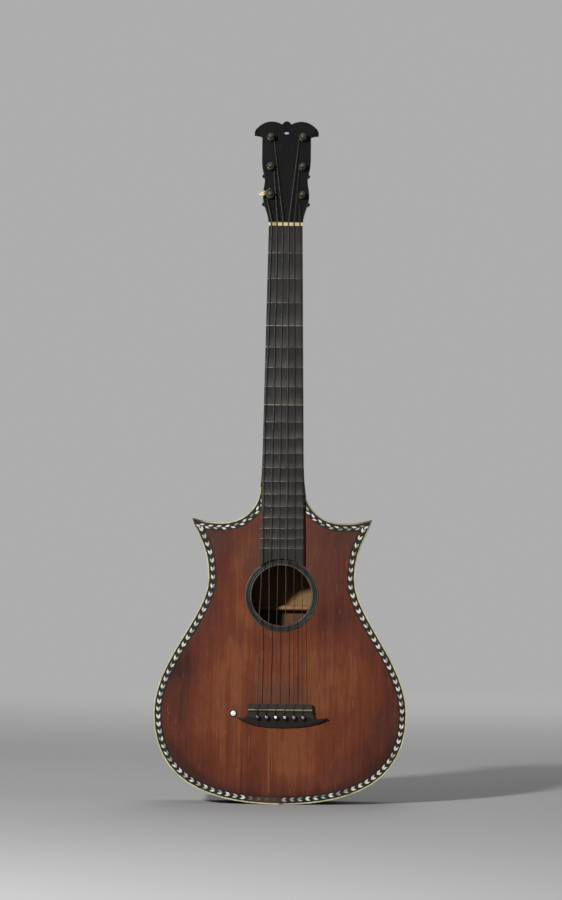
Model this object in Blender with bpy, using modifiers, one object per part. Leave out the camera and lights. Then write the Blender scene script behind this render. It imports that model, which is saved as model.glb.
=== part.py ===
"""A six-string guitar with a horned body, a flat pegged head and a moustache bridge.

Metres, +Z up. The guitar stands upright with its strings towards -Y. The origin is at
the lowest point of the body, on the centre line and half-way through the tail's depth.
"""

import math

import bmesh
import bpy
from mathutils import Matrix, Vector

# Fit
GAP = 0.0003  # clearance between two pieces that touch
TURN_GAP = 0.0005  # clearance round a peg that turns

# Body outline, seen from the front: heights from its lowest point, drops from its upper end
BODY_LENGTH = 0.413
LOWER_WIDTH, LOWER_HEIGHT = 0.330, 0.118
WAIST_WIDTH, WAIST_DROP = 0.191, 0.119
HORN_WIDTH, HORN_DROP = 0.2345, 0.0415
DIP_WIDTH, DIP_DROP = 0.158, 0.047  # the lowest place of the edge between horn and neck
ROOT_WIDTH = 0.0586  # where the body meets the heel

# Body depth
TAIL_DEPTH = 0.088
ROOT_DEPTH = 0.078
TOP_THICKNESS = 0.0028
BACK_THICKNESS = 0.0025
RIB_THICKNESS = 0.0022

# Linings, blocks, braces
LINING_WIDTH, LINING_DEPTH = 0.006, 0.013
LINING_END_GAP = 0.0014
TAIL_BLOCK_WIDTH, TAIL_BLOCK_HEIGHT = 0.060, 0.020
NECK_BLOCK_HEIGHT = 0.032
HORN_BLOCK_REACH = 0.026
BRACE_WIDTH, BRACE_DEPTH, BRACE_END = 0.008, 0.013, 0.003
BRACE_SCOOP = 0.030
BRACE_OFF_RING = 0.0090  # from the soundhole's ring to the axis of the braces beside it
TOP_BRACE_BELOW_PINS = 0.048
BACK_BRACE_BELOW_HOLE = 0.018  # it shows through the soundhole
BACK_BRACE_OVER_BOUT = 0.012
BACK_BRACE_DROP = 0.078
PLATE_LENGTH, PLATE_WIDTH, PLATE_THICKNESS = 0.140, 0.036, 0.003

# Edge trim
BINDING_WIDTH, BINDING_DEPTH = 0.0016, 0.0050
BAND_WIDTH, BAND_DEPTH = 0.0080, 0.0010
PEARL_LENGTH, PEARL_WIDTH, PEARL_ARM = 0.0070, 0.0050, 0.0044  # a chevron, and its arms
PEARL_PITCH, PEARL_PROUD = 0.0103, 0.00015
PEARL_STAGGER = 0.0042  # between the two leaves of a pair on the shoulders
PEARL_TAIL_LEAD, PEARL_NECK_LEAD = 0.0030, 0.0015  # bare band at the ends of the border
PEARL_HORN_LEAD = 0.0008  # from the band's corner in the horn to the side's last chevron
PEARL_PAST_CORNER = 0.0066  # how far the shoulder's first pair stands past that corner

# Soundhole
HOLE_RADIUS, HOLE_DROP = 0.0393, 0.141
RING_WIDTH, RING_PROUD = 0.0082, 0.0012
RING_GROOVE = 0.0004
RING_SIDES = 36

# Strings, bass side first (the left of the front view)
SCALE_LENGTH = 0.630
SADDLE_HEIGHT = 0.123
STRING_DIAMETERS = (0.0011, 0.0010, 0.0008, 0.0009, 0.0008, 0.0007)
NUT_SPREAD, PIN_SPREAD = 0.037, 0.0592
STRING_OVER_BOARD = 0.0015
STRING_TAIL = 0.003  # what hangs below the bridge plate

# Neck
FRETS = 19
BOARD_THICKNESS = 0.005
NUT_WIDTH, BOARD_END_WIDTH = 0.044, 0.0578
NUT_LENGTH, NUT_PROUD = 0.0050, 0.0022
BOARD_END_STEPS = 8
FRET_WIDTH, FRET_CROWN, FRET_RISE, FRET_SINK = 0.0020, 0.0009, 0.0009, 0.0003
NECK_DEPTH, NECK_ROOT_DEPTH = 0.0155, 0.0190
HEEL_LENGTH, HEEL_STEPS = 0.050, 6
THROAT_LENGTH = 0.030  # where the neck squares off under the head
NECK_POINTS = 13

# Head: widths, and distances from the nut along its face
HEAD_TILT = math.radians(15)
HEAD_LENGTH, HEAD_THICKNESS = 0.1387, 0.015
HEAD_FOOT_WIDTH = 0.0444
HEAD_BULGE_WIDTH, HEAD_BULGE_REACH = 0.0604, 0.0365
HEAD_WAIST_WIDTH, HEAD_WAIST_REACH = 0.0556, 0.058
HEAD_CHEST_WIDTH, HEAD_CHEST_REACH = 0.0638, 0.085
CREST_WIDTH, CREST_REACH, CREST_THICKNESS = 0.0840, 0.1238, 0.0010  # the crest's side tips
CREST_FOOT_REACH = 0.1205  # where the head spreads into its crest
LOBE_SPREAD, LOBE_REACH = 0.0410, 0.1382
NOTCH_SPREAD, NOTCH_REACH = 0.0118, 0.1343
HANG_HOLE_RADIUS, HANG_HOLE_REACH = 0.0043, 0.1246

# Pegs
PEG_ROWS = (0.0345, 0.0735, 0.1140)  # from the nut along the head
PEG_OFFSET = 0.021
PEG_BACK_RADIUS, PEG_TIP_RADIUS = 0.0042, 0.0033
PEG_PROUD = 0.0150
COLLAR_RADIUS, COLLAR_LENGTH = 0.0060, 0.0025
STEM_RADIUS, STEM_LENGTH = 0.0034, 0.010
STEM_SINK = 0.006  # how far the stem reaches into the grip
PEG_ROUNDING = 0.0008
GRIP_WIDTH, GRIP_HEIGHT, GRIP_THICKNESS = 0.021, 0.022, 0.0065
PEG_SIDES = 12

# Windings
WINDING_TURNS = (4, 5, 6, 6, 5, 4)
TURN_SPACE = 0.0005  # between two turns
FEED_HEIGHT = 0.0026  # of the straight string over the head
TURN_POINTS = 8

# Bridge
BRIDGE_THICKNESS, BRIDGE_EDGE = 0.0070, 0.0022
BLOCK_WIDTH, BLOCK_OVER_SADDLE = 0.0834, 0.0076
BRIDGE_BELLY = 0.0140  # from the pins down to the lowest point of the bridge
CREASE_BELOW_PINS = 0.0002  # below it the bridge is bevelled
TREBLE_TIP, BASS_TIP, TIP_BELOW_PINS = 0.061, 0.0560, 0.0007
WING_DIP = 0.0014  # of the wings' upper edge under their tips
FLARE_WIDTH, FLARE_HEIGHT = 0.0060, 0.0105
SADDLE_THICKNESS, SADDLE_SEAT, SADDLE_PROUD = 0.0024, 0.0035, 0.0026
PINS_BELOW_SADDLE = 0.0091
RAMP_DEPTH, RAMP_RUN = 0.0017, 0.0030  # of the cut that leads each string to its hole
PIN_RADIUS, PIN_END_RADIUS, PIN_LENGTH = 0.0025, 0.0021, 0.020
PIN_HEAD_RADIUS, PIN_HEAD_DEPTH = 0.0034, 0.0046
PIN_SIDES = 10
STUD_BESIDE_TIP, STUD_OVER_PINS = 0.0049, 0.0041
STUD_RADIUS, STUD_EYE_RADIUS, STUD_PROUD = 0.0047, 0.0034, 0.0034

# Derived places
TOP_FACE = -TAIL_DEPTH / 2
BACK_FACE = TAIL_DEPTH / 2
BACK_LEAN = (TAIL_DEPTH - ROOT_DEPTH) / BODY_LENGTH
TOP_INNER = TOP_FACE + TOP_THICKNESS
BACK_INNER = BACK_FACE - BACK_THICKNESS
INSIDE = RIB_THICKNESS + GAP  # from the outline to what lies against the ribs
WAIST_HEIGHT = BODY_LENGTH - WAIST_DROP
HORN_HEIGHT = BODY_LENGTH - HORN_DROP
DIP_HEIGHT = BODY_LENGTH - DIP_DROP
HOLE_HEIGHT = BODY_LENGTH - HOLE_DROP
RING_RADIUS = HOLE_RADIUS + RING_WIDTH
NUT_HEIGHT = SADDLE_HEIGHT + SCALE_LENGTH
NECK_END = NUT_HEIGHT + NUT_LENGTH + 2 * GAP
HEAD_START = NECK_END + GAP
BOARD_BACK = TOP_FACE - GAP
BOARD_FACE = BOARD_BACK - BOARD_THICKNESS
BOARD_END = HOLE_HEIGHT + RING_RADIUS + GAP
BRIDGE_BACK = TOP_FACE - GAP
BRIDGE_FACE = BRIDGE_BACK - BRIDGE_THICKNESS
BRIDGE_TOP = SADDLE_HEIGHT + BLOCK_OVER_SADDLE
PIN_HEIGHT = SADDLE_HEIGHT - PINS_BELOW_SADDLE
CREASE_HEIGHT = PIN_HEIGHT - CREASE_BELOW_PINS
BRIDGE_FOOT = PIN_HEIGHT - BRIDGE_BELLY
TIP_HEIGHT = PIN_HEIGHT - TIP_BELOW_PINS
SADDLE_CREST = BRIDGE_FACE - SADDLE_PROUD
PLATE_BACK = TOP_INNER + GAP + PLATE_THICKNESS
TOP_BRACES = {
    "upper": HOLE_HEIGHT + RING_RADIUS + BRACE_OFF_RING,
    "middle": HOLE_HEIGHT - RING_RADIUS - BRACE_OFF_RING,
    "lower": PIN_HEIGHT - TOP_BRACE_BELOW_PINS,
}
BACK_BRACES = {
    "upper": BODY_LENGTH - BACK_BRACE_DROP,
    "middle": HOLE_HEIGHT - BACK_BRACE_BELOW_HOLE,
    "lower": LOWER_HEIGHT + BACK_BRACE_OVER_BOUT,
}
STRINGS = range(len(STRING_DIAMETERS))
# Strings 1 and 6 go to the lowest pegs, 2 and 5 to the middle ones, 3 and 4 to the top
PEG_PLACES = [(-PEG_OFFSET, row) for row in PEG_ROWS] + [
    (PEG_OFFSET, row) for row in reversed(PEG_ROWS)
]
FLAT = Matrix.Rotation(math.radians(90), 4, "X")  # lays an outline into X and Z
ACROSS = Matrix.Rotation(math.radians(-90), 4, "Y")  # lays X up Z, and what is raised along X
HEAD_FRAME = Matrix.Translation((0, TOP_FACE, HEAD_START)) @ Matrix.Rotation(
    math.radians(90) - HEAD_TILT, 4, "X"
)

# Colours: red, green, blue, roughness, metallic
FINISHES = {
    "spruce_front": (0.230, 0.075, 0.035, 0.45, 0.0),
    "spruce_inside": (0.550, 0.380, 0.210, 0.80, 0.0),
    "maple_stained": (0.200, 0.065, 0.030, 0.40, 0.0),
    "ebony": (0.022, 0.022, 0.021, 0.45, 0.0),
    "fingerboard_wood": (0.045, 0.040, 0.040, 0.50, 0.0),
    "bone": (0.760, 0.680, 0.420, 0.40, 0.0),
    "pearl": (0.850, 0.860, 0.820, 0.25, 0.0),
    "mastic": (0.020, 0.018, 0.016, 0.60, 0.0),
    "gut": (0.420, 0.360, 0.260, 0.50, 0.0),
    "wound_silver": (0.300, 0.300, 0.290, 0.40, 0.8),
}


def collection(name):
    made = bpy.data.collections.new(name)
    bpy.context.scene.collection.children.link(made)
    return made


for old in list(bpy.data.objects):
    bpy.data.objects.remove(old, do_unlink=True)
GUITAR = collection("guitar")
CUTTERS = collection("cutters")


def finish(name):
    material = bpy.data.materials.get(name)
    if material:
        return material
    material = bpy.data.materials.new(name)
    material.use_nodes = True
    red, green, blue, roughness, metallic = FINISHES[name]
    shader = material.node_tree.nodes["Principled BSDF"]
    shader.inputs["Base Color"].default_value = (red, green, blue, 1)
    shader.inputs["Roughness"].default_value = roughness
    shader.inputs["Metallic"].default_value = metallic
    material.diffuse_color = (red, green, blue, 1)
    return material


# Making a piece


def add(name, mesh, look, matrix=None):
    """A named piece of the guitar."""
    mesh.materials.clear()
    mesh.materials.append(finish(look))
    piece = bpy.data.objects.new(name, mesh)
    if matrix:
        piece.matrix_world = matrix
    GUITAR.objects.link(piece)
    return piece


def cutter(name, mesh, matrix=None):
    """A shape that cuts a piece or is joined to it, and isn't one itself."""
    tool = bpy.data.objects.new(name, mesh)
    if matrix:
        tool.matrix_world = matrix
    tool.hide_render = True
    tool.display_type = "WIRE"
    CUTTERS.objects.link(tool)
    return tool


def combine(piece, tool, operation="DIFFERENCE"):
    change = piece.modifiers.new(f"{operation.lower()} {tool.name}", "BOOLEAN")
    change.operation = operation
    change.object = tool
    change.solver = "EXACT"


def evaluated_mesh(source):
    graph = bpy.context.evaluated_depsgraph_get()
    return bpy.data.meshes.new_from_object(source.evaluated_get(graph))


def settle(piece):
    """Applies a piece's cuts and joints, and shades what they left."""
    rough = piece.data
    piece.data = evaluated_mesh(piece)
    piece.modifiers.clear()
    bpy.data.meshes.remove(rough)
    round_off(piece.data)


def join_flats(mesh):
    """Joins the slivers that a union leaves in flat faces."""
    shape = bmesh.new()
    shape.from_mesh(mesh)
    flat = math.radians(0.1)
    bmesh.ops.dissolve_limit(shape, angle_limit=flat, verts=shape.verts, edges=shape.edges)
    large = [face for face in shape.faces if len(face.verts) > 4]
    bmesh.ops.triangulate(shape, faces=large)
    shape.to_mesh(mesh)
    shape.free()
    round_off(mesh)


def round_off(mesh, sharper_than=35):
    mesh.shade_smooth()
    mesh.set_sharp_from_angle(angle=math.radians(sharper_than))


def weld(mesh):
    """Joins the points that coincide, and turns every face outwards."""
    shape = bmesh.new()
    shape.from_mesh(mesh)
    bmesh.ops.remove_doubles(shape, verts=shape.verts, dist=0.000001)
    bmesh.ops.recalc_face_normals(shape, faces=shape.faces)
    shape.to_mesh(mesh)
    shape.free()
    return mesh


def slab(drawing, low, high, lay=None):
    """A closed outline drawn in X and Y, filled, and raised along Z from low to high."""
    curve = bpy.data.curves.new("outline", "CURVE")
    curve.dimensions = "2D"
    curve.fill_mode = "BOTH"
    curve.extrude = (high - low) / 2
    spline = curve.splines.new("POLY")
    spline.points.add(len(drawing) - 1)
    for point, (x, y) in zip(spline.points, drawing):
        point.co = (x, y, 0, 1)
    spline.use_cyclic_u = True
    source = bpy.data.objects.new("outline", curve)
    GUITAR.objects.link(source)
    mesh = weld(evaluated_mesh(source))
    bpy.data.objects.remove(source)
    bpy.data.curves.remove(curve)
    mesh.transform(Matrix.Translation((0, 0, (high + low) / 2)))
    if lay:
        mesh.transform(lay)
    round_off(mesh)
    return mesh


def standing(drawing, front, back):
    """A slab whose outline is drawn in X and Z, from depth front to depth back."""
    return slab(drawing, -back, -front, FLAT)


def box(low, high):
    shape = bmesh.new()
    bmesh.ops.create_cube(shape, size=1)
    bmesh.ops.scale(shape, vec=Vector(high) - Vector(low), verts=shape.verts)
    bmesh.ops.translate(shape, vec=(Vector(high) + Vector(low)) / 2, verts=shape.verts)
    mesh = bpy.data.meshes.new("box")
    shape.to_mesh(mesh)
    shape.free()
    return mesh


def merged(meshes):
    """Several closed meshes, clear of each other, as the mesh of one cutter."""
    shape = bmesh.new()
    for mesh in meshes:
        shape.from_mesh(mesh)
    result = bpy.data.meshes.new("cutters")
    shape.to_mesh(result)
    shape.free()
    return result


def turned(profile, sides, lay=None):
    """A closed profile of (radius, height), from top to bottom, turned round Z."""
    line = bpy.data.meshes.new("profile")
    edges = [(i, i + 1) for i in range(len(profile) - 1)]
    line.from_pydata([(radius, 0, height) for radius, height in profile], edges, [])
    source = bpy.data.objects.new("profile", line)
    GUITAR.objects.link(source)
    screw = source.modifiers.new("turn", "SCREW")
    screw.steps = sides
    screw.render_steps = sides
    screw.use_merge_vertices = True
    screw.merge_threshold = 0.000001
    mesh = weld(evaluated_mesh(source))
    bpy.data.objects.remove(source)
    bpy.data.meshes.remove(line)
    if lay:
        mesh.transform(lay)
    round_off(mesh)
    return mesh


def rod(radius, low, high, sides, lay=None):
    return turned([(0, high), (radius, high), (radius, low), (0, low)], sides, lay)


def tube(name, points, radius, look, matrix=None):
    """A wire through the given points, with closed ends."""
    curve = bpy.data.curves.new(name, "CURVE")
    curve.dimensions = "3D"
    curve.bevel_depth = radius
    curve.bevel_resolution = 1
    curve.use_fill_caps = True
    spline = curve.splines.new("POLY")
    spline.points.add(len(points) - 1)
    for place, point in zip(spline.points, points):
        place.co = (*point, 1)
    curve.materials.append(finish(look))
    piece = bpy.data.objects.new(name, curve)
    if matrix:
        piece.matrix_world = matrix
    GUITAR.objects.link(piece)
    return piece


# Outlines: a line is a list of (point, direction), and what it bounds lies on its left


def bend(start, leaving, pull, end, arriving, hold, steps):
    """A smooth line between two points.

    It leaves and arrives in the given directions, in degrees, and keeps to them for the
    given shares of the distance.
    """
    span = math.dist(start, end)
    out, back = math.radians(leaving), math.radians(arriving)
    handles = (
        start,
        (start[0] + pull * span * math.cos(out), start[1] + pull * span * math.sin(out)),
        (end[0] - hold * span * math.cos(back), end[1] - hold * span * math.sin(back)),
        end,
    )
    line = []
    for i in range(steps + 1):
        t = i / steps
        weights = ((1 - t) ** 3, 3 * t * (1 - t) ** 2, 3 * t**2 * (1 - t), t**3)
        slopes = ((1 - t) ** 2, 2 * t * (1 - t), t**2)
        point = tuple(sum(w * h[k] for w, h in zip(weights, handles)) for k in (0, 1))
        way = tuple(
            sum(w * (b[k] - a[k]) for w, a, b in zip(slopes, handles, handles[1:]))
            for k in (0, 1)
        )
        size = math.hypot(*way)
        line.append((point, (way[0] / size, way[1] / size)))
    return line


def joined(*lines):
    """Lines that follow one another, without the points that they share."""
    whole = list(lines[0])
    for line in lines[1:]:
        whole += line[1:]
    return whole


def points_of(line):
    return [point for point, _ in line]


def side_line():
    """From the middle of the tail round the lower bout and the waist to the horn tip."""
    lower = (LOWER_WIDTH / 2, LOWER_HEIGHT)
    waist = (WAIST_WIDTH / 2, WAIST_HEIGHT)
    horn = (HORN_WIDTH / 2, HORN_HEIGHT)
    return joined(
        bend((0, 0), 0, 0.41, lower, 90, 0.47, 13),
        bend(lower, 90, 0.36, waist, 90, 0.26, 12),
        bend(waist, 90, 0.49, horn, 73, 0.35, 6),
    )


def shoulder_line():
    """From the horn tip down into the dip, and up along the neck to the heel."""
    horn = (HORN_WIDTH / 2, HORN_HEIGHT)
    dip = (DIP_WIDTH / 2, DIP_HEIGHT)
    root = (ROOT_WIDTH / 2, BODY_LENGTH)
    return joined(
        bend(horn, 198, 0.32, dip, 180, 0.35, 4),
        bend(dip, 180, 0.44, root, 90, 0.37, 9),
    )


def offset(line, inward):
    """The points of a line, moved to its left by a distance."""
    return [(x - inward * dy, y + inward * dx) for (x, y), (dx, dy) in line]


def crossing(first, second):
    """Where two polylines meet: the first up to there, and the second from there on."""
    for i in range(len(first) - 1, 0, -1):
        (ax, ay), (bx, by) = first[i - 1], first[i]
        for j in range(len(second) - 1):
            (cx, cy), (dx, dy) = second[j], second[j + 1]
            turn = (bx - ax) * (dy - cy) - (by - ay) * (dx - cx)
            if not turn:
                continue
            s = ((cx - ax) * (dy - cy) - (cy - ay) * (dx - cx)) / turn
            t = ((cx - ax) * (by - ay) - (cy - ay) * (bx - ax)) / turn
            if 0 <= s <= 1 and 0 <= t <= 1:
                corner = (ax + s * (bx - ax), ay + s * (by - ay))
                return first[:i] + [corner], [corner] + second[j + 1 :]
    return first, second


def halves(inward):
    """The right half of the outline, moved inward: its side and its shoulder."""
    side, shoulder = offset(SIDE, inward), offset(SHOULDER, inward)
    return crossing(side, shoulder) if inward > 0 else (side, shoulder)


def half(inward):
    side, shoulder = halves(inward)
    return side + shoulder[1:]


def mirrored(points):
    """The same points on the other side, in the order that goes on from them."""
    return [(-x, y) for x, y in reversed(points)]


def outline(inward):
    """The whole body outline, moved inward."""
    right = half(inward)
    return right + mirrored(right)[:-1]


def length_of(points):
    return sum(math.dist(a, b) for a, b in zip(points, points[1:]))


def at_distance(line, place):
    """The point and the direction at a distance along a line."""
    for (a, way), (b, next_way) in zip(line, line[1:]):
        step = math.dist(a, b)
        if place <= step:
            t = place / step
            x, y = (p + t * (q - p) for p, q in zip(a, b))
            dx, dy = (p + t * (q - p) for p, q in zip(way, next_way))
            size = math.hypot(dx, dy)
            return (x, y), (dx / size, dy / size)
        place -= step
    return line[-1]


def stretch(line, start, end):
    """The part of a line between two distances along it."""
    part, walked = [at_distance(line, start)], 0
    for (a, _), (b, way) in zip(line, line[1:]):
        walked += math.dist(a, b)
        if start < walked < end:
            part.append((b, way))
    return part + [at_distance(line, end)]


def shortened(points, cut):
    """A polyline that ends a little sooner."""
    while math.dist(points[-2], points[-1]) <= cut:
        cut -= math.dist(points[-2], points[-1])
        points = points[:-1]
    (ax, ay), (bx, by) = points[-2], points[-1]
    t = 1 - cut / math.dist(points[-2], points[-1])
    return points[:-1] + [(ax + t * (bx - ax), ay + t * (by - ay))]


def off_centre(points):
    """A polyline from the centre line, started half a gap beside it."""
    return [(GAP / 2, points[0][1])] + points[1:]


def read_across(points, height):
    """How far out a rising polyline lies at a height."""
    for (ax, ay), (bx, by) in zip(points, points[1:]):
        if ay <= height < by:
            return ax + (height - ay) / (by - ay) * (bx - ax)
    return points[-1][0]


def read_up(points, across):
    """How high a polyline that runs outwards lies at a distance from the centre line."""
    for (ax, ay), (bx, by) in zip(points, points[1:]):
        if ax <= across < bx:
            return ay + (across - ax) / (bx - ax) * (by - ay)
    return points[-1][1]


def tuck_back(mesh):
    """Moves what lies behind the middle forward with height, for a body thinner at the neck."""
    for vertex in mesh.vertices:
        if vertex.co.y > 0:
            vertex.co.y -= BACK_LEAN * vertex.co.z
    return mesh


SIDE = side_line()
SHOULDER = shoulder_line()


# Body


def make_soundboard(pin_holes):
    """The front plate, with a rebate round its edge for the band."""
    edge = BINDING_WIDTH + GAP
    rebate = edge + BAND_WIDTH + 2 * GAP
    floor = TOP_FACE + BAND_DEPTH + GAP
    board = add("soundboard", standing(outline(rebate), TOP_FACE, TOP_INNER), "spruce_front")
    rim = cutter("rebated_rim", standing(outline(edge), floor, TOP_INNER))
    combine(board, rim, "UNION")
    middle = Matrix.Translation((0, TOP_FACE, HOLE_HEIGHT)) @ FLAT
    through = 2 * TOP_THICKNESS
    hole = rod(HOLE_RADIUS, -through, through, RING_SIDES, middle)
    combine(board, cutter("sound_hole", hole))
    combine(board, pin_holes)
    settle(board)


def make_back():
    plate = tuck_back(standing(outline(0), BACK_INNER, BACK_FACE))
    add("back", plate, "maple_stained")


def make_ribs():
    """The sides: two round the lower bout and waist, two from the horns to the heel."""
    front, back = TOP_FACE + BINDING_DEPTH + GAP, BACK_INNER - GAP
    mitre = 1.2 * GAP
    side, shoulder = halves(0)
    inner_side, inner_shoulder = halves(RIB_THICKNESS)
    inner_side = off_centre(shortened(inner_side, mitre))
    inner_shoulder = shortened(inner_shoulder[::-1], mitre)
    drawings = {
        "lower": off_centre(shortened(side, mitre)) + inner_side[::-1],
        "upper": shortened(shoulder[::-1], mitre)[::-1] + inner_shoulder,
    }
    for place, drawing in drawings.items():
        for hand, loop in (("treble", drawing), ("bass", mirrored(drawing))):
            mesh = tuck_back(standing(loop, front, back))
            add(f"{place}_rib_{hand}", mesh, "maple_stained")


def make_blocks():
    """The blocks that the ribs are glued to. Gives how far the horn blocks reach each way."""
    front, back = TOP_INNER + GAP, BACK_INNER - GAP
    side, shoulder = halves(INSIDE)
    reach = TAIL_BLOCK_WIDTH / 2
    foot = [point for point in side if point[0] < reach]
    right = foot + [(reach, read_up(side, reach)), (reach, foot[0][1] + TAIL_BLOCK_HEIGHT)]
    tail = right + mirrored(right)[:-1]
    add("tail_block", tuck_back(standing(tail, front, back)), "spruce_inside")

    base = BODY_LENGTH - NECK_BLOCK_HEIGHT
    flank = [point for point in shoulder if point[1] > base]
    right = [(read_across(shoulder, base), base)] + flank
    neck = right + mirrored(right)
    add("neck_block", tuck_back(standing(neck, front, back)), "spruce_inside")

    corner = side[-1]
    below = [point for point in side if math.dist(point, corner) < HORN_BLOCK_REACH]
    along = [point for point in shoulder if math.dist(point, corner) < HORN_BLOCK_REACH]
    horn = below + along[1:]
    for hand, loop in (("treble", horn), ("bass", mirrored(horn))):
        mesh = tuck_back(standing(loop, front, back))
        add(f"horn_block_{hand}", mesh, "spruce_inside")
    return length_of(below), length_of(along)


def make_linings(below_horn, along_horn):
    """Strips that widen the ribs' glued edges, each from block to block."""
    side, shoulder = points_of(SIDE), points_of(SHOULDER)
    corner = halves(INSIDE)[0][-1]
    lost = math.dist(corner, side[-1])
    block_foot = BODY_LENGTH - NECK_BLOCK_HEIGHT - LINING_END_GAP
    inner = offset(SHOULDER, INSIDE)
    climb = [i for i, point in enumerate(inner) if point[1] > block_foot][0]
    to_block = length_of(shoulder[: climb + 1]) - (inner[climb][1] - block_foot)
    routes = {
        "lower": stretch(
            SIDE,
            TAIL_BLOCK_WIDTH / 2 + LINING_END_GAP,
            length_of(side) - lost - below_horn - LINING_END_GAP,
        ),
        "upper": stretch(SHOULDER, lost + along_horn + LINING_END_GAP, to_block),
    }
    layers = {
        "top": (TOP_INNER + GAP, TOP_INNER + GAP + LINING_DEPTH),
        "back": (BACK_INNER - GAP - LINING_DEPTH, BACK_INNER - GAP),
    }
    for place, route in routes.items():
        drawing = offset(route, INSIDE) + offset(route, INSIDE + LINING_WIDTH)[::-1]
        for hand, loop in (("treble", drawing), ("bass", mirrored(drawing))):
            for layer, (front, back) in layers.items():
                mesh = tuck_back(standing(loop, front, back))
                add(f"{layer}_lining_{place}_{hand}", mesh, "spruce_inside")


def brace_profile(reach, seat, inward):
    """A brace seen along its axis: deep in the middle and scooped at its ends."""
    middle = (reach - BRACE_SCOOP, BRACE_DEPTH)
    scoop = bend((reach, BRACE_END), 180, 0.45, middle, 180, 0.45, 5)
    right = [(reach, 0)] + points_of(scoop)
    return [(x, seat + inward * depth) for x, depth in right + mirrored(right)]


def make_braces():
    trim = INSIDE + LINING_WIDTH + GAP
    inner_side = halves(trim)[0]
    walls = (
        ("top", TOP_BRACES, TOP_INNER + GAP, 1),
        ("back", BACK_BRACES, BACK_INNER - GAP, -1),
    )
    for wall, heights, seat, inward in walls:
        for place, height in heights.items():
            low, high = height - BRACE_WIDTH / 2, height + BRACE_WIDTH / 2
            reach = min(read_across(inner_side, edge) for edge in (low, high)) - GAP
            mesh = slab(brace_profile(reach, seat, inward), low, high)
            add(f"{wall}_brace_{place}", tuck_back(mesh), "spruce_inside")


def make_bindings():
    """The pale strips round the soundboard's edge, which meet at the tail."""
    outer, inner = off_centre(half(0)), off_centre(half(BINDING_WIDTH))
    strip = outer + inner[::-1]
    for hand, loop in (("treble", strip), ("bass", mirrored(strip))):
        mesh = standing(loop, TOP_FACE, TOP_FACE + BINDING_DEPTH)
        add(f"binding_{hand}", mesh, "bone")


def leaf(tip, way, across):
    """One arm of a chevron, from the chevron's middle to one of its sides."""
    reach = PEARL_LENGTH - PEARL_ARM
    drawing = [(0, 0), (reach, 1), (PEARL_LENGTH, 1), (PEARL_ARM, 0)]
    return placed(drawing, tip, way, across)


def placed(drawing, tip, way, across):
    """A drawing of (distance along the edge, share of the half width), set on the edge."""
    (x, y), (dx, dy) = tip, way
    wide = across * PEARL_WIDTH / 2
    points = [(x + u * dx - w * wide * dy, y + u * dy + w * wide * dx) for u, w in drawing]
    return points if across > 0 else points[::-1]


def chevron(tip, way):
    reach = PEARL_LENGTH - PEARL_ARM
    right = [(0, 0), (reach, -1), (PEARL_LENGTH, -1), (PEARL_ARM, 0)]
    left = [(PEARL_LENGTH, 1), (reach, 1)]
    return placed(right + left, tip, way, 1)


def pearl_drawings():
    """The border of one side: chevrons up the side, and pairs of leaves on the shoulder.

    They point to the tail on the side, and to the horn tip on the shoulder, where the
    outer leaf of each pair stands further on than the inner one.
    """
    middle = BINDING_WIDTH + 2 * GAP + BAND_WIDTH / 2
    corner = halves(middle)[0][-1]
    lost = math.dist(corner, points_of(SIDE)[-1])
    drawings = []
    runs = (
        (SIDE, PEARL_TAIL_LEAD, lost + PEARL_HORN_LEAD),
        (SHOULDER, lost - PEARL_PAST_CORNER, PEARL_NECK_LEAD + PEARL_STAGGER),
    )
    for line, start, spare in runs:
        room = length_of(points_of(line)) - start - spare - PEARL_LENGTH
        count = int(room / PEARL_PITCH) + 1
        for i in range(count):
            place = start + i * room / (count - 1)
            point, way = at_distance(line, place)
            tip = offset([(point, way)], middle)[0]
            if line is SIDE:
                drawings.append(chevron(tip, way))
                continue
            drawings.append(leaf(tip, way, 1))
            point, way = at_distance(line, place + PEARL_STAGGER)
            drawings.append(leaf(offset([(point, way)], middle)[0], way, -1))
    return drawings


def make_inlay_band():
    """The mastic band beside the binding, with its pearls, which stand a little proud."""
    start = BINDING_WIDTH + 2 * GAP
    outer, inner = half(start), half(start + BAND_WIDTH)
    whole = mirrored(outer)[:-1] + outer + inner[::-1] + [(-x, y) for x, y in inner[1:]]
    band = add("inlay_band", standing(whole, TOP_FACE, TOP_FACE + BAND_DEPTH), "mastic")
    right = pearl_drawings()
    pearls = [
        standing(loop, TOP_FACE - PEARL_PROUD, TOP_FACE + BAND_DEPTH / 2)
        for drawing in right
        for loop in (drawing, mirrored(drawing))
    ]
    combine(band, cutter("pearls", merged(pearls)), "UNION")
    settle(band)
    join_flats(band.data)


def make_soundhole_ring():
    """A flat ring round the hole, with one groove."""
    inner, crest = HOLE_RADIUS, RING_PROUD
    shoulder = 0.7 * crest
    groove = HOLE_RADIUS + RING_WIDTH / 2
    slope = RING_WIDTH / 10
    profile = [
        (inner, 0),
        (inner, shoulder),
        (inner + slope, crest),
        (groove - slope, crest),
        (groove, crest - RING_GROOVE),
        (groove + slope, crest),
        (RING_RADIUS - slope, crest),
        (RING_RADIUS, shoulder),
        (RING_RADIUS, 0),
        (inner, 0),
    ]
    middle = Matrix.Translation((0, TOP_FACE - GAP, HOLE_HEIGHT)) @ FLAT
    add("soundhole_ring", turned(profile, RING_SIDES, middle), "ebony")


# Neck


def board_half_width(height):
    """The fingerboard widens evenly from the nut to its end."""
    share = (NUT_HEIGHT - height) / (NUT_HEIGHT - BOARD_END)
    return (NUT_WIDTH + share * (BOARD_END_WIDTH - NUT_WIDTH)) / 2


def fret_height(fret):
    return NUT_HEIGHT - SCALE_LENGTH * (1 - 2 ** (-fret / 12))


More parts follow.
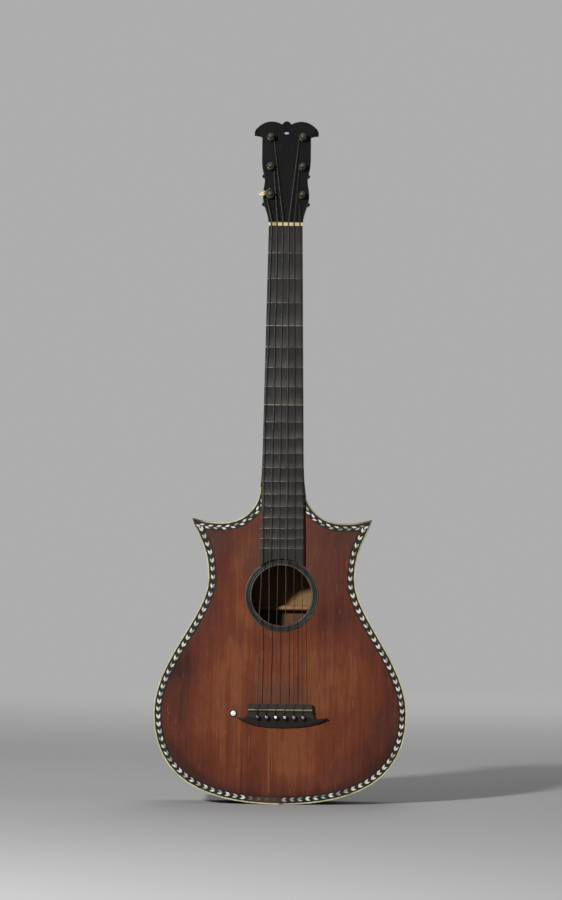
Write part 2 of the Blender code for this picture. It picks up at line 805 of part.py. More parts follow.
def make_fingerboard():
    """A flat board whose end is hollowed to the soundhole's ring, with its frets."""
    radius = RING_RADIUS + GAP
    spread = math.asin(BOARD_END_WIDTH / 2 / radius)
    foot = []
    for i in range(BOARD_END_STEPS + 1):
        angle = spread * (2 * i / BOARD_END_STEPS - 1)
        foot.append((radius * math.sin(angle), HOLE_HEIGHT + radius * math.cos(angle)))
    top = NUT_HEIGHT - GAP
    drawing = foot + [(board_half_width(top), top), (-board_half_width(top), top)]
    mesh = standing(drawing, BOARD_FACE, BOARD_BACK)
    board = add("fingerboard", mesh, "fingerboard_wood")
    bars = []
    for fret in range(1, FRETS + 1):
        height = fret_height(fret)
        if height < BOARD_END + FRET_WIDTH:
            break
        reach = board_half_width(height) - GAP
        section = [
            (height - FRET_WIDTH / 2, BOARD_FACE + FRET_SINK),
            (height + FRET_WIDTH / 2, BOARD_FACE + FRET_SINK),
            (height + FRET_CROWN / 2, BOARD_FACE - FRET_RISE),
            (height - FRET_CROWN / 2, BOARD_FACE - FRET_RISE),
        ]
        bars.append(slab(section, -reach, reach, ACROSS))
    combine(board, cutter("frets", merged(bars)), "UNION")
    settle(board)
    join_flats(board.data)


def neck_section(height, depth, squareness, reach):
    """The neck across: flat in front, and round or squarer behind."""
    section = []
    for i in range(NECK_POINTS):
        angle = math.pi * i / (NECK_POINTS - 1)
        x = reach * math.copysign(abs(math.cos(angle)) ** (2 / squareness), math.cos(angle))
        y = TOP_FACE + depth * math.sin(angle) ** (2 / squareness)
        section.append((x, y, height))
    return section


def make_neck():
    """A loft: the heel squares off on the body, and the neck squares off under the head."""
    root = BODY_LENGTH + GAP
    heel_depth = BACK_FACE - BACK_LEAN * BODY_LENGTH - TOP_FACE
    heel_flare = ROOT_WIDTH / 2 - board_half_width(root)
    sections = []
    for i in range(HEEL_STEPS + 1):
        angle = math.pi / 2 * i / HEEL_STEPS
        height = root + HEEL_LENGTH * (1 - math.cos(angle))
        left = 1 - math.sin(angle)
        depth = NECK_ROOT_DEPTH + left * (heel_depth - NECK_ROOT_DEPTH)
        reach = board_half_width(height) + left * heel_flare
        sections.append(neck_section(height, depth, 2 + 6 * left**2, reach))
    shaft_start, shaft_end = root + HEEL_LENGTH, NECK_END - THROAT_LENGTH
    for share in (1 / 3, 2 / 3, 1):
        height = shaft_start + share * (shaft_end - shaft_start)
        depth = NECK_ROOT_DEPTH + share * (NECK_DEPTH - NECK_ROOT_DEPTH)
        sections.append(neck_section(height, depth, 2, board_half_width(height)))
    for share in (0.4, 0.75, 1):
        height = shaft_end + share * (NECK_END - shaft_end)
        reach = board_half_width(min(height, NUT_HEIGHT))
        sections.append(neck_section(height, NECK_DEPTH, 2 + 3 * share**2, reach))
    shape = bmesh.new()
    loops = [[shape.verts.new(point) for point in section] for section in sections]
    for lower, upper in zip(loops, loops[1:]):
        for i in range(NECK_POINTS):
            j = (i + 1) % NECK_POINTS
            shape.faces.new((lower[i], lower[j], upper[j], upper[i]))
    shape.faces.new(loops[0][::-1])
    shape.faces.new(loops[-1])
    mesh = bpy.data.meshes.new("neck")
    shape.to_mesh(mesh)
    shape.free()
    weld(mesh)
    round_off(mesh, 50)
    add("neck", mesh, "ebony")


def make_nut():
    low, high = NUT_HEIGHT, NUT_HEIGHT + NUT_LENGTH
    face = BOARD_FACE - NUT_PROUD
    block = box((-NUT_WIDTH / 2, face, low), (NUT_WIDTH / 2, BOARD_BACK, high))
    nut = add("nut", block, "bone")
    slots = []
    for string in STRINGS:
        radius = STRING_DIAMETERS[string] / 2
        x = string_x(string, NUT_HEIGHT)
        floor = string_depth(string, NUT_HEIGHT) + radius + GAP
        wide = radius + 2 * GAP
        start = (x - wide, face - NUT_LENGTH, low - NUT_LENGTH)
        slots.append(box(start, (x + wide, floor, high + NUT_LENGTH)))
    combine(nut, cutter("nut_slots", merged(slots)))
    settle(nut)


# Head: drawn in its own plane, X across, Y away from the nut, Z out of its face


def head_outline():
    bulge = (HEAD_BULGE_WIDTH / 2, HEAD_BULGE_REACH)
    waist = (HEAD_WAIST_WIDTH / 2, HEAD_WAIST_REACH)
    chest = (HEAD_CHEST_WIDTH / 2, HEAD_CHEST_REACH)
    neck = (HEAD_CHEST_WIDTH / 2, CREST_FOOT_REACH)
    under = (CREST_WIDTH / 2 - CREST_THICKNESS / 4, CREST_REACH - CREST_THICKNESS)
    tip = (CREST_WIDTH / 2, CREST_REACH)
    lobe = (LOBE_SPREAD / 2, LOBE_REACH)
    notch = (NOTCH_SPREAD / 2, NOTCH_REACH)
    foot = (HEAD_FOOT_WIDTH / 2, 0)
    right = joined(
        bend(foot, 88, 0.45, bulge, 90, 0.25, 6),
        bend(bulge, 90, 0.37, waist, 90, 0.35, 3),
        bend(waist, 90, 0.36, chest, 90, 0.38, 4),
        [(chest, (0, 1)), (neck, (0, 1))],
        bend(neck, 45, 0.25, under, 5, 0.35, 3),
        [(under, (0, 1)), (tip, (0, 1))],
        bend(tip, 116, 0.35, lobe, 180, 0.30, 5),
        bend(lobe, 180, 0.40, notch, 212, 0.30, 3),
        bend(notch, 122, 0.40, (0, HEAD_LENGTH), 180, 0.40, 3),
    )
    points = points_of(right)
    return points + mirrored(points)[1:]


def make_head(bores):
    head = add(
        "headstock", slab(head_outline(), -HEAD_THICKNESS, 0), "ebony", HEAD_FRAME
    )
    wide = CREST_WIDTH
    below = box(
        (-wide, TOP_FACE - wide, HEAD_START - wide), (wide, TOP_FACE + wide, HEAD_START)
    )
    combine(head, cutter("neck_joint", below))
    combine(head, bores)
    settle(head)


def head_bores():
    """The tapered peg holes and the hole that the guitar hangs by, as one cutter."""
    facet = math.cos(math.pi / PEG_SIDES)
    over = COLLAR_LENGTH
    front, back = over, -HEAD_THICKNESS - over
    wide = (post_radius(back) + TURN_GAP) / facet
    narrow = (post_radius(front) + TURN_GAP) / facet
    profile = [(0, front), (narrow, front), (wide, back), (0, back)]
    bores = [
        turned(profile, PEG_SIDES, Matrix.Translation((x, y, 0))) for x, y in PEG_PLACES
    ]
    hang = Matrix.Translation((0, HANG_HOLE_REACH, 0))
    bores.append(rod(HANG_HOLE_RADIUS, back, front, 16, hang))
    return cutter("head_bores", merged(bores), HEAD_FRAME)


def post_radius(height):
    """The peg's radius at a height over the head's face."""
    share = (height + HEAD_THICKNESS) / (PEG_PROUD + HEAD_THICKNESS)
    return PEG_BACK_RADIUS + share * (PEG_TIP_RADIUS - PEG_BACK_RADIUS)


def peg_shaft():
    """Tip, tapered shaft, collar and stem. The head's face is at height zero."""
    back = -HEAD_THICKNESS - GAP
    collar = back - COLLAR_LENGTH
    profile = [
        (0, PEG_PROUD),
        (PEG_TIP_RADIUS - PEG_ROUNDING, PEG_PROUD),
        (post_radius(PEG_PROUD - PEG_ROUNDING), PEG_PROUD - PEG_ROUNDING),
        (post_radius(back), back),
        (COLLAR_RADIUS, back),
        (COLLAR_RADIUS, collar + PEG_ROUNDING),
        (COLLAR_RADIUS - PEG_ROUNDING, collar),
        (STEM_RADIUS, collar - PEG_ROUNDING),
        (STEM_RADIUS, collar - STEM_LENGTH),
        (0, collar - STEM_LENGTH),
    ]
    return turned(profile, PEG_SIDES)


def peg_grip():
    """The flat, rounded thumb piece at the back end of a peg."""
    centre = -HEAD_THICKNESS - GAP - COLLAR_LENGTH - STEM_LENGTH + STEM_SINK - GRIP_HEIGHT / 2
    size = (GRIP_WIDTH, GRIP_THICKNESS, GRIP_HEIGHT)
    shape = bmesh.new()
    bmesh.ops.create_uvsphere(shape, u_segments=12, v_segments=7, radius=0.5)
    bmesh.ops.scale(shape, vec=size, verts=shape.verts)
    bmesh.ops.translate(shape, vec=(0, 0, centre), verts=shape.verts)
    mesh = bpy.data.meshes.new("grip")
    shape.to_mesh(mesh)
    shape.free()
    return mesh


def feed_side(string):
    """Which side of its post a string comes to, of which 1 is the treble side."""
    if string == 0:
        return -1
    return 1 if string < 3 else -1


def feed_point(string):
    """Where the straight string ends beside its post, and its direction from the post."""
    x, y = PEG_PLACES[string]
    reach = post_radius(FEED_HEIGHT) + GAP + STRING_DIAMETERS[string] / 2
    aside, along = string_x(string, NUT_HEIGHT) - x, -y
    quarter = math.acos(reach / math.hypot(aside, along))
    angle = math.atan2(along, aside) + feed_side(string) * quarter
    return x + reach * math.cos(angle), y + reach * math.sin(angle), angle


def winding_points(string):
    """A helix round the post, outwards from the end of the straight string."""
    diameter = STRING_DIAMETERS[string]
    start = FEED_HEIGHT + diameter + GAP
    pitch = diameter + TURN_SPACE
    angle = feed_point(string)[2]
    points = []
    for i in range(WINDING_TURNS[string] * TURN_POINTS + 1):
        height = start + pitch * i / TURN_POINTS
        reach = post_radius(height) + GAP + diameter / 2
        turn = angle + feed_side(string) * math.tau * i / TURN_POINTS
        points.append((reach * math.cos(turn), reach * math.sin(turn), height))
    return points


def least_self_gap(points, diameter):
    """The least distance between the turns of a winding, surface to surface."""
    apart = TURN_POINTS // 2
    pairs = (
        math.dist(points[i], points[j])
        for i in range(len(points))
        for j in range(i + apart, len(points))
    )
    return min(pairs) - diameter


def make_pegs():
    """Each peg with the turns of its string, both with their origin on the peg's axis."""
    for string, (x, y) in enumerate(PEG_PLACES):
        number = string + 1
        place = HEAD_FRAME @ Matrix.Translation((x, y, 0))
        peg = add(f"peg_{number}", peg_shaft(), "ebony", place)
        combine(peg, cutter(f"grip_{number}", peg_grip(), place), "UNION")
        settle(peg)
        join_flats(peg.data)
        diameter = STRING_DIAMETERS[string]
        points = winding_points(string)
        tube(f"winding_{number}", points, diameter / 2, string_look(string), place)
        gap = 1000 * least_self_gap(points, diameter)
        print(f"winding_{number}: least gap between its turns {gap:.2f} mm")


# Strings


def string_look(string):
    return "wound_silver" if string < 3 else "gut"


def string_x(string, height):
    """How far across a string lies at a height: the strings fan out from nut to pins."""
    share = (NUT_HEIGHT - height) / (NUT_HEIGHT - PIN_HEIGHT)
    spread = NUT_SPREAD + share * (PIN_SPREAD - NUT_SPREAD)
    return spread * (string / (len(STRING_DIAMETERS) - 1) - 0.5)


def string_depth(string, height):
    """The depth of a string's axis between nut and saddle."""
    radius = STRING_DIAMETERS[string] / 2
    at_nut = BOARD_FACE - STRING_OVER_BOARD - radius
    at_saddle = SADDLE_CREST - GAP - radius
    share = (NUT_HEIGHT - height) / SCALE_LENGTH
    return at_nut + share * (at_saddle - at_nut)


def string_slot(string):
    """Half the width of the cuts that a string runs in."""
    return STRING_DIAMETERS[string] / 2 + 1.5 * GAP


def string_over_pin(string):
    """How far above its pin's axis a string goes down through the bridge."""
    return PIN_RADIUS + GAP + STRING_DIAMETERS[string] / 2


def make_strings():
    """Each string from under the bridge plate over saddle and nut to the side of its post."""
    for string in STRINGS:
        radius = STRING_DIAMETERS[string] / 2
        x = string_x(string, PIN_HEIGHT)
        down = PIN_HEIGHT + string_over_pin(string)
        clear = PIN_HEIGHT + PIN_HEAD_RADIUS + 2 * GAP + radius
        crest = string_depth(string, SADDLE_HEIGHT)
        behind = SADDLE_HEIGHT - SADDLE_THICKNESS / 2
        at_nut = (string_x(string, NUT_HEIGHT), string_depth(string, NUT_HEIGHT))
        side, along, _ = feed_point(string)
        points = [
            (x, PLATE_BACK + STRING_TAIL, down),
            (x, BRIDGE_FACE + RAMP_DEPTH + radius, down),
            (x, BRIDGE_FACE + GAP, clear),
            (string_x(string, behind), crest, behind),
            (string_x(string, SADDLE_HEIGHT), crest, SADDLE_HEIGHT),
            (*at_nut, NUT_HEIGHT - GAP),
            (*at_nut, NUT_HEIGHT + NUT_LENGTH),
            tuple(HEAD_FRAME @ Vector((side, along, FEED_HEIGHT))),
        ]
        tube(f"string_{string + 1}", points, radius, string_look(string))


# Bridge


def pin_holes():
    """The holes for pins and strings, through bridge, soundboard and plate, as one cutter.

    Each is round, with a slot for the string above it.
    """
    holes = []
    radius = (PIN_RADIUS + TURN_GAP) / math.cos(math.pi / PIN_SIDES)
    for string in STRINGS:
        wide = string_slot(string)
        top = string_over_pin(string) + wide
        first = math.asin(wide / radius)
        drawing = [(-wide, top), (wide, top)]
        for i in range(PIN_SIDES + 1):
            angle = first + (math.tau - 2 * first) * i / PIN_SIDES
            drawing.append((radius * math.sin(angle), radius * math.cos(angle)))
        x = string_x(string, PIN_HEIGHT)
        hole = [(x + dx, PIN_HEIGHT + dz) for dx, dz in drawing]
        over = PLATE_THICKNESS
        holes.append(standing(hole, BRIDGE_FACE - over, PLATE_BACK + over))
    return cutter("pin_holes", merged(holes))


def bridge_half(tip):
    """Half of the bridge's outline, from the middle of its belly to its top corner."""
    block = BLOCK_WIDTH / 2
    dip = (block + FLARE_WIDTH, TIP_HEIGHT - WING_DIP)
    right = joined(
        bend((0, BRIDGE_FOOT), 0, 0.45, (tip, TIP_HEIGHT), 35, 0.26, 7),
        bend((tip, TIP_HEIGHT), 188, 0.30, dip, 172, 0.30, 3),
        bend(dip, 155, 0.35, (block, dip[1] + FLARE_HEIGHT), 94, 0.41, 4),
    )
    return points_of(right) + [(block, BRIDGE_TOP)]


def make_bridge(holes):
    """Block and wings in one, with a bevelled belly, a saddle seat and string ramps."""
    left = [(-x, y) for x, y in reversed(bridge_half(BASS_TIP))][:-1]
    mesh = standing(bridge_half(TREBLE_TIP) + left, BRIDGE_FACE, BRIDGE_BACK)
    bridge = add("bridge", mesh, "ebony")
    reach = 2 * TREBLE_TIP
    slope = (BRIDGE_THICKNESS - BRIDGE_EDGE) / (CREASE_HEIGHT - BRIDGE_FOOT)
    run = 2 * (CREASE_HEIGHT - BRIDGE_FOOT)
    above = BRIDGE_FACE - BRIDGE_THICKNESS
    wedge = [
        (CREASE_HEIGHT, BRIDGE_FACE),
        (CREASE_HEIGHT, above),
        (CREASE_HEIGHT - run, above),
        (CREASE_HEIGHT - run, BRIDGE_FACE + slope * run),
    ]
    combine(bridge, cutter("bridge_bevel", slab(wedge, -reach, reach, ACROSS)))
    slot = SADDLE_THICKNESS / 2 + GAP
    seat = box(
        (-reach, above, SADDLE_HEIGHT - slot),
        (reach, BRIDGE_FACE + SADDLE_SEAT, SADDLE_HEIGHT + slot),
    )
    combine(bridge, cutter("saddle_seat", seat))
    combine(bridge, holes)
    ramps = []
    for string in STRINGS:
        x, wide = string_x(string, PIN_HEIGHT), string_slot(string)
        top = PIN_HEIGHT + PIN_HEAD_RADIUS + RAMP_RUN
        start = (x - wide, above, PIN_HEIGHT)
        ramps.append(box(start, (x + wide, BRIDGE_FACE + RAMP_DEPTH, top)))
    combine(bridge, cutter("string_ramps", merged(ramps)))
    settle(bridge)


def make_saddle():
    reach, half_thick = BLOCK_WIDTH / 2, SADDLE_THICKNESS / 2
    blade = box(
        (-reach, SADDLE_CREST, SADDLE_HEIGHT - half_thick),
        (reach, BRIDGE_FACE + SADDLE_SEAT - GAP, SADDLE_HEIGHT + half_thick),
    )
    add("saddle", blade, "bone")


def make_bridge_plate(holes):
    """The hard plate under the bridge that the strings' ends bear on."""
    middle = (PIN_HEIGHT + SADDLE_HEIGHT) / 2
    mesh = box(
        (-PLATE_LENGTH / 2, TOP_INNER + GAP, middle - PLATE_WIDTH / 2),
        (PLATE_LENGTH / 2, PLATE_BACK, middle + PLATE_WIDTH / 2),
    )
    plate = add("bridge_plate", mesh, "spruce_inside")
    combine(plate, holes)
    settle(plate)


def make_pins():
    """Tapered pins with round heads, which draw out towards the front."""
    head, depth = PIN_HEAD_RADIUS, PIN_HEAD_DEPTH
    profile = [
        (0, depth),
        (0.62 * head, 0.86 * depth),
        (0.98 * head, 0.52 * depth),
        (0.78 * head, 0.16 * depth),
        (PIN_RADIUS, 0),
        (PIN_END_RADIUS, -PIN_LENGTH),
        (0, -PIN_LENGTH),
    ]
    for string in STRINGS:
        seat = (string_x(string, PIN_HEIGHT), BRIDGE_FACE - GAP, PIN_HEIGHT)
        place = Matrix.Translation(seat) @ FLAT
        add(f"bridge_pin_{string + 1}", turned(profile, PIN_SIDES), "ebony", place)


def make_stud():
    """A pearl bead in a ring, let into the soundboard beside the bridge's bass tip."""
    profile = [
        (0, STUD_PROUD),
        (0.6 * STUD_EYE_RADIUS, 0.9 * STUD_PROUD),
        (STUD_EYE_RADIUS, 0.5 * STUD_PROUD),
        (STUD_RADIUS, 0.35 * STUD_PROUD),
        (STUD_RADIUS, 0),
        (0, 0),
    ]
    x, z = -BASS_TIP - STUD_BESIDE_TIP, PIN_HEIGHT + STUD_OVER_PINS
    place = Matrix.Translation((x, TOP_FACE - GAP, z)) @ FLAT
    add("bridge_stud", turned(profile, 14), "pearl", place)


HOLES = pin_holes()
make_soundboard(HOLES)
make_back()
make_ribs()
make_linings(*make_blocks())
make_braces()
make_bindings()
make_inlay_band()
make_soundhole_ring()
make_neck()
make_fingerboard()
make_nut()
make_head(head_bores())
make_pegs()
make_strings()
make_bridge(HOLES)
make_saddle()
make_bridge_plate(HOLES)
make_pins()
make_stud()
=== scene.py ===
"""The looks of the horned guitar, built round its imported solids.

Metres, +Z up, strings towards -Y, as the solids are. Colours are written as they look
in full light, 0 to 255.
"""

import random
from math import acos, atan2, cos, dist, exp, hypot, pi, radians, sin, sqrt, tau

import bmesh
import bpy
from mathutils import Matrix, Vector


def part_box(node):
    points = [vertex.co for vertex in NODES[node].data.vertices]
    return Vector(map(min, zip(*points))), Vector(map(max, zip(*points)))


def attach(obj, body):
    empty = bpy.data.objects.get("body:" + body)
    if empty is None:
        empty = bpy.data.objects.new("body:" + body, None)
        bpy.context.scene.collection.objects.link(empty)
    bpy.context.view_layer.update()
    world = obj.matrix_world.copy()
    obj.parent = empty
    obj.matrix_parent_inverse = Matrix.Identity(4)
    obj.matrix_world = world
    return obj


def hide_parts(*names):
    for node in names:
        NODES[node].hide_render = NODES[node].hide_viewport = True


# The solids' own sizes
GAP = 0.0003
BODY_LENGTH = 0.413
LOWER_WIDTH, LOWER_HEIGHT = 0.33, 0.118
WAIST_WIDTH, WAIST_HEIGHT = 0.191, 0.294
HORN_WIDTH, HORN_HEIGHT = 0.2345, 0.3715
DIP_WIDTH, DIP_HEIGHT = 0.158, 0.366
ROOT_WIDTH = 0.0586
BACK_LEAN = 0.01 / BODY_LENGTH
TOP_FACE, BACK_INNER = -0.044, 0.0415
BINDING_WIDTH = 0.0016
BAND_WIDTH, BAND_DEPTH = 0.008, 0.001
BAND_START = BINDING_WIDTH + 2 * GAP
PEARL_LENGTH, PEARL_WIDTH, PEARL_ARM = 0.007, 0.005, 0.0044
PEARL_PITCH, PEARL_PROUD, PEARL_STAGGER = 0.0103, 0.00015, 0.0042
PEARL_TAIL_LEAD, PEARL_NECK_LEAD = 0.003, 0.0015
PEARL_HORN_LEAD, PEARL_PAST_CORNER = 0.0008, 0.0066
PEARL_SEAM = 0.05  # between the leaves of a pair, as a share of half their width
HOLE_HEIGHT, HOLE_RADIUS, RING_WIDTH = 0.272, 0.0393, 0.0082
RING_RADIUS = HOLE_RADIUS + RING_WIDTH
SCALE_LENGTH, SADDLE_HEIGHT, NUT_HEIGHT = 0.63, 0.123, 0.753
STRING_DIAMETERS = (0.0011, 0.001, 0.0008, 0.0009, 0.0008, 0.0007)
STRINGS, WOUND_STRINGS, STRING_OVER_BOARD = range(6), 3, 0.0015
NUT_SPREAD, PIN_SPREAD = 0.037, 0.0592
BOARD_FACE, BOARD_BACK = -0.0493, -0.0443
NUT_WIDTH, BOARD_END_WIDTH, NUT_LENGTH = 0.044, 0.0578, 0.005
FRETS, BRIGHT_FRETS = 19, (4, 8)
HEAD_THICKNESS = 0.015
HEAD_FRAME = Matrix.Translation((0, TOP_FACE, 0.7589)) @ Matrix.Rotation(radians(75), 4, "X")
PEG_ROWS, PEG_OFFSET = (0.0345, 0.0735, 0.114), 0.021
PEG_PLACES = [(-PEG_OFFSET, row) for row in PEG_ROWS]
PEG_PLACES += [(PEG_OFFSET, row) for row in reversed(PEG_ROWS)]
PEG_BACK_RADIUS, PEG_TIP_RADIUS, PEG_PROUD = 0.0042, 0.0033, 0.015
COLLAR_RADIUS, COLLAR_LENGTH = 0.006, 0.0025
STEM_RADIUS, STEM_LENGTH, STEM_SINK = 0.0034, 0.01, 0.006
GRIP_WIDTH, GRIP_HEIGHT, GRIP_THICKNESS = 0.021, 0.022, 0.0065
WINDING_TURNS = (4, 5, 6, 6, 5, 4)
TURN_SPACE, FEED_HEIGHT = 0.0005, 0.0026
BRIDGE_FACE, SADDLE_CREST, PIN_HEIGHT = -0.0513, -0.0539, 0.1139
BRACE_WIDTH, BRACE_DEPTH, BRACE_END, BRACE_SCOOP = 0.008, 0.013, 0.003, 0.03
PLATE_BACK, RAMP_DEPTH, STRING_TAIL = -0.0379, 0.0017, 0.003
PIN_RADIUS, PIN_END_RADIUS, PIN_LENGTH = 0.0025, 0.0021, 0.02
PIN_HEAD_RADIUS, PIN_HEAD_DEPTH = 0.0034, 0.0046
STUD_X, STUD_Z, STUD_RADIUS = -0.0609, 0.118, 0.0047
SCROLL_SPREAD, SCROLL_REACH = 0.0382, 0.1259
FLAT = Matrix.Rotation(radians(90), 4, "X")

# The photograph's frame
FRAME_HEIGHT, SENSOR = 1.1718, 36
CAMERA_DISTANCE, CAMERA_ELEVATION, CAMERA_ROLL = 6.0, -0.7, 0.66
CAMERA_AIM = Vector((-0.0028, TOP_FACE, 0.4613))
BACKDROP = 0.42

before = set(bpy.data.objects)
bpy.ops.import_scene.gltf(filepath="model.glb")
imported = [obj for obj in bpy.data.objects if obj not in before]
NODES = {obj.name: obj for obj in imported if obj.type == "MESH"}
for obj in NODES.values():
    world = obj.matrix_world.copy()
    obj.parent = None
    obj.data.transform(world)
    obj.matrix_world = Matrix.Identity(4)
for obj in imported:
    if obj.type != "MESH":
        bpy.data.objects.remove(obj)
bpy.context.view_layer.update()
dice = random.Random(7)


# Places that the looks need too


def string_x(string, height):
    share = (NUT_HEIGHT - height) / (NUT_HEIGHT - PIN_HEIGHT)
    spread = NUT_SPREAD + share * (PIN_SPREAD - NUT_SPREAD)
    return spread * (string / 5 - 0.5)


def fret_height(fret):
    return NUT_HEIGHT - SCALE_LENGTH * (1 - 2 ** (-fret / 12))


# Materials


def colour(red, green, blue):
    """A colour as it is seen, in the renderer's numbers."""
    light = [
        v / 12.92 if v <= 0.04045 else ((v + 0.055) / 1.055) ** 2.4
        for v in (red / 255, green / 255, blue / 255)
    ]
    return (*light, 1.0)


class Tree:
    """A tree of nodes, and short words to make them."""

    def __init__(self, tree, kinds="ShaderNode"):
        self.tree, self.kinds = tree, kinds

    def feed(self, node, feeds):
        """Gives inputs of a node their values, or links to them."""
        for name, value in feeds.items():
            if isinstance(value, bpy.types.NodeSocket):
                self.tree.links.new(value, node.inputs[name])
            else:
                node.inputs[name].default_value = value

    def node(self, kind, feeds=None, **settings):
        node = self.tree.nodes.new(self.kinds + kind)
        for name, value in settings.items():
            setattr(node, name, value)
        self.feed(node, feeds or {})
        return node

    def math(self, operation, first, second=0.0):
        return self.node("Math", {0: first, 1: second}, operation=operation).outputs[0]

    def seen_rays(self):
        """One for rays that show a thing, to the eye or in a reflection, and else zero."""
        path = self.node("LightPath").outputs
        shown = self.math("MAXIMUM", path["Is Camera Ray"], path["Is Glossy Ray"])
        return self.math("MAXIMUM", shown, path["Is Transmission Ray"])


class Paint(Tree):
    """A Principled material."""

    def __init__(self, name, roughness=0.5, metallic=0.0, specular=0.5, coat=0.0):
        self.material = bpy.data.materials.new(name)
        self.material.use_nodes = True
        super().__init__(self.material.node_tree)
        self.shader = self.tree.nodes["Principled BSDF"]
        self.feed(self.shader, {"Roughness": roughness, "Metallic": metallic})
        self.feed(self.shader, {"Specular IOR Level": specular})
        self.feed(self.shader, {"Coat Weight": coat, "Coat Roughness": 0.25})
        self.place = self.node("TexCoord").outputs["Object"]

    def times(self, first, second):
        return self.math("MULTIPLY", first, second)

    def plus(self, first, second):
        return self.math("ADD", first, second)

    def total(self, first, *layers):
        """The sum of (value, share) layers."""
        whole = self.times(*first)
        for layer in layers:
            whole = self.plus(whole, self.times(*layer))
        return whole

    def vector(self, operation, first, second=(0, 0, 0)):
        node = self.node("VectorMath", {0: first, 1: second}, operation=operation)
        return node.outputs["Value" if operation in ("LENGTH", "DOT_PRODUCT") else "Vector"]

    def axis(self, number, source=None):
        return self.node("SeparateXYZ", {0: source or self.place}).outputs[number]

    def waves(self, scale, shift):
        """Where a texture is read. The scale is in waves a metre, along each axis."""
        scale = scale if isinstance(scale, tuple) else (scale,) * 3
        return self.vector("ADD", self.vector("MULTIPLY", self.place, scale), (shift,) * 3)

    def away(self, number, place):
        """The distance from a place along an axis."""
        return self.math("ABSOLUTE", self.math("SUBTRACT", self.axis(number), place))

    def noise(self, scale, detail=3.0, roughness=0.55, shift=0.0):
        """Cloudy values about 0.5."""
        feeds = {"Scale": 1.0, "Detail": detail, "Roughness": roughness}
        feeds["Vector"] = self.waves(scale, shift)
        return self.node("TexNoise", feeds).outputs["Fac"]

    def specks(self, scale, share, size, shift=0.0):
        """Small spots, in that share of the cells."""
        node = self.node("TexVoronoi", {"Scale": 1.0, "Vector": self.waves(scale, shift)})
        chosen = self.math("GREATER_THAN", self.axis(0, node.outputs["Color"]), 1 - share)
        return self.times(chosen, self.between(node.outputs["Distance"], size, 0))

    def between(self, value, low, high, first=0.0, last=1.0):
        """Rises smoothly from first to last as the value goes from low to high."""
        if low > high:
            low, high, first, last = high, low, last, first
        feeds = {"Value": value, "From Min": low, "From Max": high, "To Min": first, "To Max": last}
        return self.node("MapRange", feeds, interpolation_type="SMOOTHSTEP").outputs["Result"]

    def patches(self, scale, detail, roughness, shift, low, high, *ends):
        """Noise that is nothing up to low and full from high."""
        return self.between(self.noise(scale, detail, roughness, shift), low, high, *ends)

    def blob(self, centre, reach, inner=0.3):
        """One round the centre, fading to nothing at the reach along each axis."""
        away = self.vector("DIVIDE", self.vector("SUBTRACT", self.place, centre), reach)
        return self.between(self.vector("LENGTH", away), 1.0, inner)

    def spot(self, x, z, wide, high, inner=0.3):
        """A blob on the body's front."""
        return self.blob((x, TOP_FACE, z), (wide, 1, high), inner)

    def blend(self, first, second, share, mode="MIX"):
        feeds = {"Factor": share, "A": first, "B": second}
        return self.node("Mix", feeds, data_type="RGBA", blend_type=mode).outputs["Result"]

    def tint(self, base, *layers):
        """Lays colours on the base: (shade, where) or (shade, where, share)."""
        for shade, where, *share in layers:
            where = self.times(where, share[0]) if share else where
            base = self.blend(base, colour(*shade), where)
        return base

    def ramp(self, value, places, *shades):
        """Colours at rising values."""
        node = self.node("ValToRGB", {0: value})
        marks = node.color_ramp.elements
        while len(marks) < len(places):
            marks.new(1.0)
        for mark, place, shade in zip(marks, places, shades):
            mark.position = place
            mark.color = colour(*shade)
        return node.outputs["Color"]

    def attribute(self, name):
        return self.node("Attribute", attribute_name=name).outputs

    def bump(self, height, depth, onto=None):
        """Relief of that depth, in metres, laid over any relief before it."""
        feeds = {"Distance": depth, "Height": height}
        if onto:
            feeds["Normal"] = onto
        return self.node("Bump", feeds).outputs["Normal"]

    def done(self, base, roughness=None, relief=None):
        feeds = {"Base Color": base, "Roughness": roughness, "Normal": relief}
        self.feed(self.shader, {name: v for name, v in feeds.items() if v is not None})
        return self.material

    def clouded(self, base, cloud, sheen, depth):
        """Done, with a sheen and a relief that follow the cloud."""
        return self.done(base, self.between(cloud, 0.3, 0.7, *sheen), self.bump(cloud, depth))


GRAIN_PLACES = (0.3, 0.5, 0.7)  # of a wood's three shades


def wood(paint, along, shades, coarse=30, fine=700, places=GRAIN_PLACES):
    """Streaks and fine grain along an axis: their mix, the fine grain and their colour."""

    def layer(waves, *rest):
        return paint.noise(tuple(waves * (0.04 if i == along else 1.0) for i in range(3)), *rest)

    streaks = layer(coarse, 3, 0.6, 3.1)
    bands = layer(coarse * 4.5, 3, 0.6, 11.7)
    grain = layer(fine, 2, 0.6, 5.3)
    mixed = paint.total((streaks, 0.45), (bands, 0.32), (grain, 0.23))
    return mixed, grain, paint.ramp(mixed, places, *shades)


